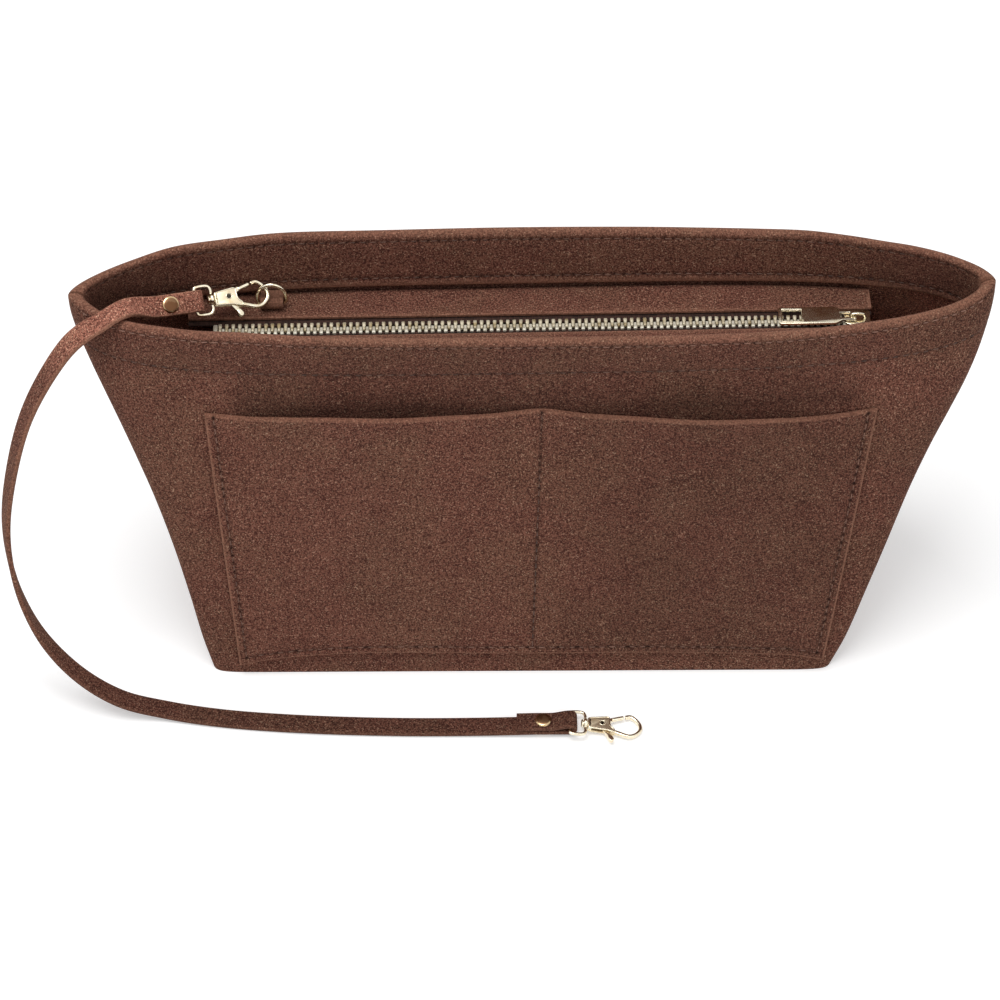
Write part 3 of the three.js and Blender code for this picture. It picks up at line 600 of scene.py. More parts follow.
def make_piece(
    name: str, shape: Shape, body: str, kind: Finish, replaces: tuple[str, ...] = ()
) -> bpy.types.Object:
    """Puts a shape into the scene as a finished piece.

    Args:
        name: the piece's name.
        shape: its points and faces, in millimetres in the part's frame.
        body: the CAD body it rides on.
        kind: its finish.
        replaces: the CAD nodes it stands for.

    Returns:
        The Blender object.
    """
    closed = shape.outward()
    mesh = bpy.data.meshes.new(name)
    mesh.from_pydata((closed.points * MM).tolist(), [], closed.quads.tolist() + closed.caps)
    for mark, values in closed.marks.items():
        layer = mesh.attributes.new(mark, "FLOAT", "POINT")
        layer.data.foreach_set("value", values.astype(np.float32))
    mesh.polygons.foreach_set("use_smooth", np.full(len(mesh.polygons), True))
    mesh.set_sharp_from_angle(angle=np.radians(SHARP_ANGLE))
    mesh.update()
    piece = bpy.data.objects.new(name, mesh)
    bpy.context.scene.collection.objects.link(piece)
    mesh.materials.append(finish(kind))
    return declare(piece, body, replaces)


def declare(piece: bpy.types.Object, body: str, replaces: tuple[str, ...]) -> bpy.types.Object:
    """Rides and replaces a piece, and logs it.

    Args:
        piece: the piece.
        body: the CAD body it rides on.
        replaces: the CAD nodes it stands for, if any.

    Returns:
        The same piece.
    """
    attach(piece, body)
    if replaces:
        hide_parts(*replaces)
    log.info("%s: %d faces on %s", piece.name, len(piece.data.polygons), body)
    return piece


def plate(outlines: list[Array], low: float, high: float, bevel: float, steps: int = 2) -> Shape:
    """A flat plate with holes and rounded edges, from a filled 2D curve.

    Args:
        outlines: closed outlines in millimetres, the outer one first and then its holes.
        low: the plate's lowest Z.
        high: its highest Z.
        bevel: how far its edges are rounded.
        steps: the rounding's fineness.

    Returns:
        The plate's shape.
    """
    curve = bpy.data.curves.new("plate", "CURVE")
    curve.dimensions, curve.fill_mode = "2D", "BOTH"
    for outline in outlines:
        spline = curve.splines.new("POLY")
        spline.points.add(len(outline) - 1)
        flat = np.c_[outline, np.zeros(len(outline)), np.ones(len(outline))]
        spline.points.foreach_set("co", flat.astype(np.float32).ravel())
        spline.use_cyclic_u = True
    curve.extrude = (high - low) / 2 - bevel
    curve.bevel_depth, curve.bevel_resolution, curve.offset = bevel, steps, -bevel
    holder = bpy.data.objects.new("plate", curve)
    mesh = bpy.data.meshes.new_from_object(holder)
    points = np.zeros(len(mesh.vertices) * 3)
    mesh.vertices.foreach_get("co", points)
    points = points.reshape(-1, 3)
    _, first, same = np.unique(np.round(points, 4), axis=0, return_index=True, return_inverse=True)
    points[:, 2] += (low + high) / 2
    faces = [[int(same.ravel()[corner]) for corner in polygon.vertices] for polygon in mesh.polygons]
    bpy.data.objects.remove(holder)
    bpy.data.curves.remove(curve)
    bpy.data.meshes.remove(mesh)
    quads = np.array([face for face in faces if len(face) == 4], int).reshape(-1, 4)
    return Shape(points[first], quads, [face for face in faces if len(face) != 4 and len(set(face)) > 2])


def spline(points: Array, steps: int) -> Array:
    """Centripetal Catmull-Rom curve through points, with so many steps to a span.

    Between two points the tangents come from the spans on both sides, each span's knots being the
    square root of its length apart.

    Args:
        points: the points it runs through.
        steps: how many steps each span has.

    Returns:
        The points of the curve, from the first point to the last.
    """
    points = np.asarray(points, float)
    padded = np.vstack([2 * points[0] - points[1], points, 2 * points[-1] - points[-2]])
    p0, p1, p2, p3 = (padded[i : i + len(points) - 1] for i in range(4))
    pairs = ((p0, p1), (p1, p2), (p2, p3))
    d0, d1, d2 = (np.sqrt(np.linalg.norm(b - a, axis=1))[:, None] for a, b in pairs)
    t1 = ((p1 - p0) / d0 - (p2 - p0) / (d0 + d1) + (p2 - p1) / d1) * d1
    t2 = ((p2 - p1) / d1 - (p3 - p1) / (d1 + d2) + (p3 - p2) / d2) * d1
    share = (np.arange(steps) / steps)[None, :, None]
    a, b = p1[:, None], p2[:, None]
    t1, t2 = t1[:, None], t2[:, None]
    cubic = a + share * t1 + share**2 * (3 * (b - a) - 2 * t1 - t2) + share**3 * (2 * (a - b) + t1 + t2)
    return np.vstack([cubic.reshape(-1, points.shape[1]), points[-1:]])


def lengths(path: Array) -> Array:
    """Running length along a path."""
    return np.r_[0, np.cumsum(np.linalg.norm(np.diff(path, axis=0), axis=1))]


def along(path: Array, places: Array) -> Array:
    """Points at running lengths along a path."""
    run = lengths(path)
    return np.stack([np.interp(places, run, path[:, axis]) for axis in range(path.shape[1])], axis=-1)


def tube(
    path: Array,
    width: Array | float,
    height: Array | float,
    up: Array,
    sides: int = 16,
    power: float = 2.0,
    blunt: float = 0,
) -> Shape:
    """A bar swept along a path, with rounded ends.

    Each ring is a superellipse: its half width lies across the path and across up, its half height
    along up. The ends shrink over three rings like a quarter circle, or by less where they are blunt.

    Args:
        path: the bar's centre line.
        width: its width, across the path and across up.
        height: its height along up.
        up: the direction or directions that its height follows.
        sides: how many points a ring has.
        power: the superellipse's power, 2 for an ellipse and more for a box.
        blunt: 0 for round ends, up to 1 for nearly flat ones.

    Returns:
        The bar's shape.
    """
    path = np.asarray(path, float)
    width = np.broadcast_to(np.asarray(width, float), (len(path),))
    height = np.broadcast_to(np.asarray(height, float), (len(path),))
    ahead = unit(np.gradient(path, axis=0))
    up = np.broadcast_to(np.asarray(up, float), path.shape)
    across = unit(np.cross(up, ahead))
    rise = unit(np.cross(ahead, across))
    turn = 2 * np.pi * np.arange(sides) / sides
    cosine, sine = np.cos(turn), np.sin(turn)
    flat = np.sign(cosine) * np.abs(cosine) ** (2 / power)
    tall = np.sign(sine) * np.abs(sine) ** (2 / power)
    rings = path[:, None] + (width[:, None] / 2 * flat)[..., None] * across[:, None]
    rings = rings + (height[:, None] / 2 * tall)[..., None] * rise[:, None]
    ends = []
    for place, sign in ((0, -1), (-1, 1)):
        reach = min(width[place], height[place]) / 2 * (1 - 0.7 * blunt)
        angles = np.radians([30, 60, 82])
        middle = path[place]
        left = 1 - (1 - np.cos(angles)) * (1 - 0.75 * blunt)
        out = sign * ahead[place] * reach * 0.6
        shrunk = [middle + (rings[place] - middle) * k + out * np.sin(a) for k, a in zip(left, angles)]
        ends.append(np.array(shrunk))
    return loft(np.concatenate([ends[0][::-1], rings, ends[1]]))


def spun(profile: Array, angle: Array) -> Array:
    """Rings about Z: radius times cosine, radius times sine, and height.

    Args:
        profile: radius and height of each ring.
        angle: the angles of a ring's points.

    Returns:
        The rings, as rows of points.
    """
    radius = profile[:, :1]
    height = np.repeat(profile[:, 1:2], len(angle), axis=1)
    return np.stack([radius * np.cos(angle), radius * np.sin(angle), height], axis=-1)


def turned(profile: Array, sides: int = 48) -> Shape:
    """A profile of radius and height turned about Z. It starts and ends on the axis.

    Args:
        profile: radius and height of each of its points.
        sides: how many points go round.

    Returns:
        The turned shape.
    """
    angle = 2 * np.pi * np.arange(sides) / sides
    profile = np.asarray(profile, float)
    inner = profile.copy()
    inner[:, 0] = np.maximum(inner[:, 0], 1e-3)
    return loft(spun(inner, angle))


def ringed(profile: Array, sides: int = 48) -> Shape:
    """A closed profile of radius and height turned about Z, as a ring with a bore.

    Args:
        profile: radius and height of each of its points.
        sides: how many points go round.

    Returns:
        The ring's shape.
    """
    angle = 2 * np.pi * np.arange(sides) / sides
    profile = np.asarray(profile, float)
    return loft(spun(profile, angle), wrap=True)


def stitches(path: Array, outward: Array, count: int, skip: int, tone: float) -> Shape:
    """A row of thread stitches along a path.

    Each stitch is a short bar, about 0.66 of the row's pitch long. It bows outwards in its middle
    and sinks below the felt at both ends, by the fourth power of its own length. The fraction of a
    large sine of its number varies its length and shade.

    Args:
        path: the row's line.
        outward: the felt's outward directions along it.
        count: how many stitches the whole path has room for.
        skip: how many are left out at each end.
        tone: how much lighter or darker the thread is here, as the row's painted light and shade.

    Returns:
        The stitches' shape.
    """
    run = lengths(path)
    pitch = run[-1] / count
    middle = (np.arange(skip, count - skip) + 0.5) * pitch
    share = np.linspace(-1, 1, STITCH_RINGS)
    vary = np.modf(np.abs(np.sin(12.9898 * np.arange(1, len(middle) + 1)) * 43758.5453))[0] - 0.5
    places = middle[:, None] + share[None, :] * (STITCH_REACH * (1 + 0.3 * vary) * pitch)[:, None]
    centre = along(path, places)
    normal = unit(_at(outward, run, places))
    centre = centre + normal * (STITCH_LIFT - STITCH_SINK * share**4)[None, :, None]
    ahead = unit(np.gradient(centre, axis=1))
    across = unit(np.cross(normal, ahead))
    rise = np.cross(ahead, across)
    turn = 2 * np.pi * np.arange(STITCH_SIDES) / STITCH_SIDES
    thick = THREAD_RADIUS * np.sqrt(np.maximum(1 - 0.75 * share**4, 0.1))
    sideways = np.cos(turn)[None, None, :, None] * across[:, :, None]
    upwards = np.sin(turn)[None, None, :, None] * rise[:, :, None]
    rings = centre[:, :, None] + thick[None, :, None, None] * (sideways + upwards)
    size = STITCH_RINGS * STITCH_SIDES
    one = grid_quads(STITCH_RINGS, STITCH_SIDES, False, True)
    start = np.arange(len(middle)) * size
    quads = (one[None] + start[:, None, None]).reshape(-1, 4)
    caps = [list(range(s, s + STITCH_SIDES))[::-1] for s in start.tolist()]
    caps += [list(range(s + size - STITCH_SIDES, s + size)) for s in start.tolist()]
    return Shape(rings.reshape(-1, 3), quads, caps, {"tone": np.repeat(tone + 0.5 * vary, size)})


def _at(values: Array, run: Array, places: Array) -> Array:
    """Values on a path, taken at running lengths along it."""
    return np.stack([np.interp(places, run, values[:, axis]) for axis in range(values.shape[1])], axis=-1)


def ripple(points: Array, size: float, seed: float) -> Array:
    """Slow waves of about a given size in millimetres: a sum of four slanted sines, about 0.

    Args:
        points: where the waves are read.
        size: the first sine's wavelength.
        seed: a number that shifts and turns them.

    Returns:
        The waves' height, -1 to 1.
    """
    total = np.zeros(points.shape[:-1])
    for turn in range(4):
        way = np.array([np.cos(turn * 2.1 + seed), np.sin(turn * 1.7 + seed), np.cos(turn * 1.3 - seed)])
        total += np.sin((points @ unit(way)) * 2 * np.pi / (size * (1 + 0.23 * turn)) + seed * (turn + 1))
    return total / 4


# Lift of each rim, at places along the pouch.
FRONT_WAVE = (
    (-190.5, 0), (-182, -1.6), (-175, -3.2), (-168, -3.6), (-160, -3.2), (-150, -2.3),
    (-137, -1.7), (-127, -0.6), (-117, 0), (-90, -0.2), (-59, -0.5), (-4, -1.2),
    (53, -2), (79, -2.3), (105, -2.9), (131, -3.2), (157, -4.1), (174, -4.5),
    (184, -3.6), (190.5, -1.2),
)
BACK_WAVE = (
    (-190.5, 0), (-180, 0.5), (-165, 2), (-148, 4.2), (-128, 3.9), (-108, 4.2),
    (-65, 2.3), (-4, 2), (40, 1.3), (75, 0.7), (95, 0.8), (115, 1.2),
    (131, 0.5), (147, -0.2), (157, 0), (170, -0.1), (178, -0.4), (184, -0.6),
    (190.5, -1.2),
)
# Outward swell of the side seams and shift of the whole plan to the right, at heights.
SIDE_SWELL = (
    (0, 0), (15, 0.3), (40, -1.1), (65, -1.7), (90, -1.1), (110, 0.9),
    (125, 3), (138, 4.6), (150, 5.2), (162, 4.6), (173, 2.9), (183, 0),
)
SIDE_SHIFT = (
    (0, 0), (15, 0.8), (40, 1.5), (65, 2), (90, 1.9), (110, 1.9),
    (125, 2.2), (138, 2.3), (150, 1.9), (162, 1.1), (173, 0.4), (183, 0),
)
# Heights of the pocket panel's mouth and foot, at places across it in hundredths of its width.
POCKET_MOUTH = (
    (0, 141.5), (6.3, 141.5), (12.7, 143.5), (20, 145.6), (33, 144.8), (43, 142.8),
    (50, 143.8), (56, 142), (67, 142.5), (80, 141.5), (92, 138.2), (100, 138.6),
)
POCKET_FOOT = (
    (0, 6), (4, 8.7), (8.7, 10.7), (14.7, 12.2), (24, 13.1), (50, 12.3),
    (72, 12.4), (88, 11.2), (94.7, 10.3), (100, 7.2),
)


@dataclass(frozen=True)
class PouchShape:
    """The pouch's driving sizes in millimetres, the same as the part's."""

    height: float = 183
    base_width: float = 274
    base_depth: float = 112
    rim_width: float = 380
    rim_depth: float = 66.6
    neck_depth: float = 60.8
    hem_drop: float = 25
    rim_lean: float = 4.5
    rim_turn: float = float(np.radians(1.1))
    base_corner: float = 30
    rim_round: float = 3.3
    rim_seam: float = 1.5
    seam_slant: float = 1.35
    felt: float = 2.2
    gap: float = 0.3

    @staticmethod
    def read(knots: Knots, place: Array | float) -> Array:
        """A smooth curve through knots of place and value, read at places and level beyond its ends."""
        curve = spline(np.array(knots), 12)
        return np.interp(place, curve[:, 0], curve[:, 1])

    def plan(self, z: float) -> tuple[float, float, float, float, float]:
        """Half width, half depth, both powers and the seam's spread at one height.

        Args:
            z: the height.

        Returns:
            Half width, half depth, the powers along and across the pouch, and the spread.
        """
        rise = min(max(z / self.height, 0), 1)
        neck = self.height - self.hem_drop
        if z < neck:
            depth = self.base_depth + (self.neck_depth - self.base_depth) * z / neck
        else:
            depth = self.neck_depth + (self.rim_depth - self.neck_depth) * min((z - neck) / self.hem_drop, 1)
        width = self.base_width + (self.rim_width - self.base_width) * rise
        lengthwise = 1 / (1 / self.base_corner + (1 / self.rim_round - 1 / self.base_corner) * rise**1.5)
        crosswise = 1 / (1 / self.base_corner + (1 / self.rim_seam - 1 / self.base_corner) * rise**3)
        half = width / 2 + float(self.read(SIDE_SWELL, z))
        return half, depth / 2, lengthwise, crosswise, 1 + (self.seam_slant - 1) * rise**3

    def half_depth(self, x: Array, z: float, inset: float = 0) -> Array:
        """Half depth of the body: d (1 - |x/w|^n)^(1/m), a given way in from its outer face.

        Args:
            x: places along the pouch.
            z: the height.
            inset: how far in from the outer face.

        Returns:
            The half depths.
        """
        width, depth, n, m, spread = self.plan(z)
        share = np.clip(np.abs(x) / (width - inset * spread), 0, 1)
        return (depth - inset) * (1 - share**n) ** (1 / m)

    def depth_at(self, x: Array, z: Array) -> Array:
        """Half depth of the body's outer face at points, read between rows 1 mm apart in height.

        Args:
            x: the points' places along the pouch.
            z: their heights, as an array of the same form.

        Returns:
            The half depths.
        """
        levels = np.arange(LEVELS + 1.0)
        rows = np.array([self.half_depth(x, level) for level in levels])
        place = np.clip(z, 0, LEVELS - 0.001)
        low = place.astype(int)
        first = np.take_along_axis(rows, low[None], 0)[0]
        second = np.take_along_axis(rows, low[None] + 1, 0)[0]
        return first + (second - first) * (place - low)

    def half_ring(self, z: float, inset: float, count: int) -> Array:
        """Half the plan at one height, from the right seam round to the left one, with y upwards.

        A quarter is x = w cos^(2/n), y = d sin^(2/m). Its points are spread by length, in two runs
        that meet at the base's corner.

        Args:
            z: the height.
            inset: how far in from the outer face.
            count: how many points a quarter has.

        Returns:
            The points' x and y.
        """
        width, depth, n, m, spread = self.plan(z)
        corner = depth / (depth + width)
        at_base = self.base_depth / (self.base_depth + self.base_width)
        turn = np.linspace(0, np.pi / 2, 1200)
        x = (width - inset * spread) * np.cos(turn) ** (2 / n)
        y = (depth - inset) * np.sin(turn) ** (2 / m)
        x[-1] = 0
        fine = np.c_[x, y]
        share = np.linspace(0, 1, count)
        low = share / at_base * corner
        high = corner + (share - at_base) / (1 - at_base) * (1 - corner)
        quarter = along(fine, np.where(share < at_base, low, high) * lengths(fine)[-1])
        other = quarter[::-1][1:] * [-1, 1]
        return np.vstack([quarter, other])

    def waved(self, points: Array, side: Side) -> Array:
        """Lets the rim wave: the hem stretches or sinks by a curve along its length.

        The curve runs through a few measured lifts, and its share grows evenly from the hem's
        lower edge to the rim.

        Args:
            points: points of a wall.
            side: which wall it is.

        Returns:
            The lifted points.
        """
        knots = FRONT_WAVE if side is Side.FRONT else BACK_WAVE
        share = np.clip((points[..., 2] - self.height + self.hem_drop) / self.hem_drop, 0, 1)
        lift = self.read(knots, points[..., 0]) * share
        return np.stack([points[..., 0], points[..., 1], points[..., 2] + lift], axis=-1)

    def stand(self, points: Array) -> Array:
        """Leans and turns straight points, both evenly with height, and bends them to the right.

        Args:
            points: the points.

        Returns:
            The points as the pouch stands.
        """
        rise = points[..., 2] / self.height
        turn = self.rim_turn * rise
        x = points[..., 0] * np.cos(turn) - points[..., 1] * np.sin(turn) + self.rim_lean * rise
        x = x + self.read(SIDE_SHIFT, points[..., 2])
        y = points[..., 0] * np.sin(turn) + points[..., 1] * np.cos(turn)
        return np.stack([x, y, points[..., 2]], axis=-1)


@dataclass
class FeltBody:
    """Front and back walls with their folded hems, the base, and the hem's two rows of stitches."""

    shape: PouchShape
    columns: int = 240
    upper_row: float = 3.5
    lower_row: float = 21
    stitch_count: int = 90
    groove: float = 0.5
    groove_width: float = 0.9
    dent_width: float = 0.62
    # Painted shade along each stitch row's groove, as a share of the needle holes' darkness.
    upper_groove_shade: float = 0.12
    lower_groove_shade: float = 0.34
    seam_fade: float = 6
    lip: float = 0.35
    base_play: float = 0.15
    # Thread tone: painted light on the outer upper rows, painted shade on the others.
    lit_thread: float = 0.1
    shaded_thread: float = -0.45
    waves: tuple[Point, ...] = ((0.35, 90, 0.7), (0.12, 23, 2.1))

    def section(self) -> Array:
        """The wall's closed section as inset and height: up outside, over the fold and up and down within.

        Returns:
            Inset and height of each of its points.
        """
        s = self.shape
        radius = s.felt + s.gap / 2
        fold, edge = s.height - radius, s.height - s.hem_drop
        near = np.array([-2.2, -1.5, -1, -0.55, 0, 0.55, 1, 1.5, 2.2])
        rows = [s.height - self.lower_row + near, s.height - self.upper_row + near]
        between = np.arange(edge + 8, fold - 4, 3)
        upper = rows[1][rows[1] < fold - 0.3]
        outer = np.unique(np.r_[0, 0.5, 1.2, np.arange(4, edge, 4), rows[0], between, upper, fold])
        inner = np.unique(np.r_[edge + 0.7, rows[0], between, upper, fold])
        turn = np.linspace(0, np.pi, 15)[1:-1]
        back = np.array([0, 20, 60, 100, 140, 150, edge, edge + 12, fold])
        small = np.linspace(np.pi, 0, 5)[1:-1]
        lining = s.felt + s.gap
        parts = [
            np.c_[np.zeros(len(outer)), outer],
            np.c_[radius * (1 - np.cos(turn)), fold + radius * np.sin(turn)],
            np.c_[np.full(len(inner), 2 * radius), inner[::-1]],
            [[2 * radius - self.lip, edge + 0.15], [lining + self.lip, edge + 0.1], [lining, edge + 0.5]],
            [[lining, edge + 12], [lining, fold]],
            np.c_[radius + s.gap / 2 * np.cos(small[::-1]), fold + s.gap / 2 * np.sin(small)],
            np.c_[np.full(len(back), s.felt), back[::-1]],
        ]
        return np.vstack(parts)

    def wall(self, side: Side) -> Shape:
        """One wall: the section swept round half the plan, with stitched grooves pressed in.

        A groove is a bell curve across each stitch row, deepest at the needle holes, which follow a
        cosine of the pitch along the wall. Slow waves, each with a height, a size and a seed, move
        the free outer face in and out.

        Args:
            side: which wall it is.

        Returns:
            The wall's shape, with its edge, hole and tone marks; hole is painted shade in the stitch grooves
            and needle holes.
        """
        s = self.shape
        section = self.section()
        columns = 2 * self.columns - 1
        rings = [np.c_[s.half_ring(z, inset, self.columns), np.full(columns, z)] for inset, z in section]
        flat = np.array(rings)
        flat[..., 1] = np.maximum(flat[..., 1], s.gap / 2)
        flat[..., 1] *= side.value
        grid = s.stand(s.waved(flat, side))
        run = np.cumsum(np.r_[0, np.linalg.norm(np.diff(grid[len(section) // 3], axis=0), axis=1)])
        inset, z = section[:, 0], section[:, 1]
        outside = inset < 0.01
        faced = (outside | (inset > 2 * s.felt)).astype(float)
        sign = np.where(inset < s.felt, -1.0, 1.0)
        press = np.zeros(grid.shape[:2])
        hole = np.zeros(grid.shape[:2])
        beat = np.cos(2 * np.pi * self.stitch_count * run / run[-1])
        for drop, line in ((self.upper_row, self.upper_groove_shade), (self.lower_row, self.lower_groove_shade)):
            off = z - (s.height - drop)
            bell = np.exp(-((off / self.groove_width) ** 2)) * faced
            press += bell[:, None] * (0.65 + 0.35 * beat)[None]
            # Painted shade: a dark line along the groove, darkest at each needle hole.
            near = np.exp(-((off / self.dent_width) ** 2)) * faced
            hole += near[:, None] * (line + (1 - line) * np.clip(beat, 0, 1)[None] ** 2)
        hem_edge = s.height - s.hem_drop
        free = smooth(z / 20)[:, None] * smooth((hem_edge - 3 - z) / 30)[:, None] * outside[:, None]
        soft = sum(high * ripple(grid, size, seed) for high, size, seed in self.waves) * free
        push = self.groove * press * sign[:, None] + soft
        from_seam = np.minimum(run, run[-1] - run)
        fade = smooth(from_seam / self.seam_fade)[None]
        grid[..., 1] += side.value * push * fade
        edges = self.raw_edges_and_rim_highlight(inset, z, from_seam)
        # Painted light and shade of the felt.
        painted_light_and_shade = self.painted_light_and_shade(inset, z, flat[..., 0])
        quads = grid_quads(len(section), columns, True, False)
        first = [row * columns for row in range(len(section))]
        ends = [first, [corner + columns - 1 for corner in first][::-1]]
        marks = {"edge": edges.ravel(), "hole": np.minimum(hole * fade, 1).ravel(), "tone": painted_light_and_shade.ravel()}
        return Shape(grid.reshape(-1, 3), quads, ends, marks)

    def raw_edges_and_rim_highlight(self, inset: Array, z: Array, from_seam: Array) -> Array:
        """How raw the felt looks: bells at the hem's cut edge, and fall-offs from the rim and side seams. The
        paler rim top is partly a worn fold and partly a painted highlight.

        Args:
            inset: the section's insets.
            z: the section's heights.
            from_seam: distances along the wall from the nearer side seam.

        Returns:
            The edge mark, 0 to about 1, for each point of the wall.
        """
        s = self.shape
        hem_edge = s.height - s.hem_drop
        cut = np.exp(-(((z - hem_edge) / 0.9) ** 2)) + 0.45 * smooth((hem_edge + 3.4 - z) / 1.4)
        hem = cut * (inset > s.felt + 0.1)
        # Paler rim top: partly a worn fold, partly a painted highlight.
        top = np.exp(-((s.height - z) / 1.6)) * 0.55
        seam = np.exp(-from_seam / 1.6)[None] * smooth((z - 150) / 15)[:, None]
        return np.maximum(np.maximum(hem, top)[:, None], seam)

    def painted_light_and_shade(self, inset: Array, z: Array, x: Array) -> Array:
        """How much lighter or darker the felt is: painted shade above the pockets, to the right and on the
        hem.

        Beside the lid's ends the lining is painted lighter, painted light for the light from above that
        reaches it there.

        Args:
            inset: the section's insets.
            z: the section's heights.
            x: the places of the wall's points along the pouch.

        Returns:
            The tone mark, 0 where the felt keeps its colour.
        """
        s = self.shape
        outside = inset < 0.01
        # Painted shade above the pocket mouths, towards the right, and on the outer hem.
        above = (np.exp(-(((z - 149) / 9) ** 2)) + 0.7 * np.exp(-(((z - 143) / 3.5) ** 2))) * outside
        across = smooth((136 - np.abs(x - 4)) / 14)
        right = smooth((x - 110) / 50) * smooth((150 - z) / 40)[:, None]
        tone = -0.33 * above[:, None] * across - 0.12 * right * outside[:, None]
        tone = tone - 0.12 * (outside * smooth((z - 158) / 4))[:, None]
        # Painted light in the lining beside the lid's ends.
        lining = (inset > s.felt - 0.01) & (z < s.height - s.hem_drop + 1) & (z > 60)
        return tone + 1.3 * smooth((np.abs(x) - 136) / 8) * lining[:, None]

    def base(self) -> Shape:
        """The base: rings of the plan shrinking inwards, with a rounded edge.

        Returns:
            The base's shape.
        """
        s = self.shape
        inset = s.felt + s.gap + self.base_play
        under = [(30, 0.0), (12, 0.0), (3, 0.0), (self.lip, 0.0), (0.0, self.lip)]
        rows = under + [(more, s.felt - z) for more, z in under[::-1]]
        rings = []
        for more, z in rows:
            half = s.half_ring(z, inset + more, 60)
            ring = np.vstack([half, -half[1:-1]])
            rings.append(np.c_[ring, np.full(len(ring), z)])
        return loft(s.stand(np.array(rings)))

    def hem_stitches(self, side: Side) -> Shape:
        """Both rows of stitches on the outside of a wall and on the hem within.

        Args:
            side: which wall it is.

        Returns:
            The stitches' shape.
        """
        s = self.shape
        rows = []
        for drop in (self.upper_row, self.lower_row):
            for inset, facing in ((0.0, 1), (2 * s.felt + s.gap, -1)):
                z = s.height - drop
                flat = s.half_ring(z, inset, self.columns)
                flat = np.c_[flat[:, 0], np.maximum(flat[:, 1], 0.2) * side.value, np.full(len(flat), z)]
                path = s.stand(s.waved(flat, side))
                ahead = unit(np.gradient(path, axis=0))
                outward = unit(np.cross(ahead, [0, 0, 1])) * facing
                outward *= np.sign(outward[len(outward) // 2, 1] * side.value * facing) or 1
                # Painted light on the outer upper rows, painted shade on the lower and inner rows.
                pale = drop == self.upper_row and facing > 0
                tone = self.lit_thread if pale else self.shaded_thread
                rows.append(stitches(path - outward * self.groove * 0.8, outward, self.stitch_count, 2, tone))
        return joined(rows)

    def build(self) -> None:
        """Makes both walls, the base and the stitches."""
        for side, name in ((Side.FRONT, "front"), (Side.BACK, "back")):
            make_piece(f"{name}_felt_wall", self.wall(side), "pouch", Finish.FELT, (f"{name}_panel",))
            make_piece(f"{name}_hem_stitches", self.hem_stitches(side), "pouch", Finish.THREAD)
        make_piece("felt_base", self.base(), "pouch", Finish.FELT, ("base_panel",))


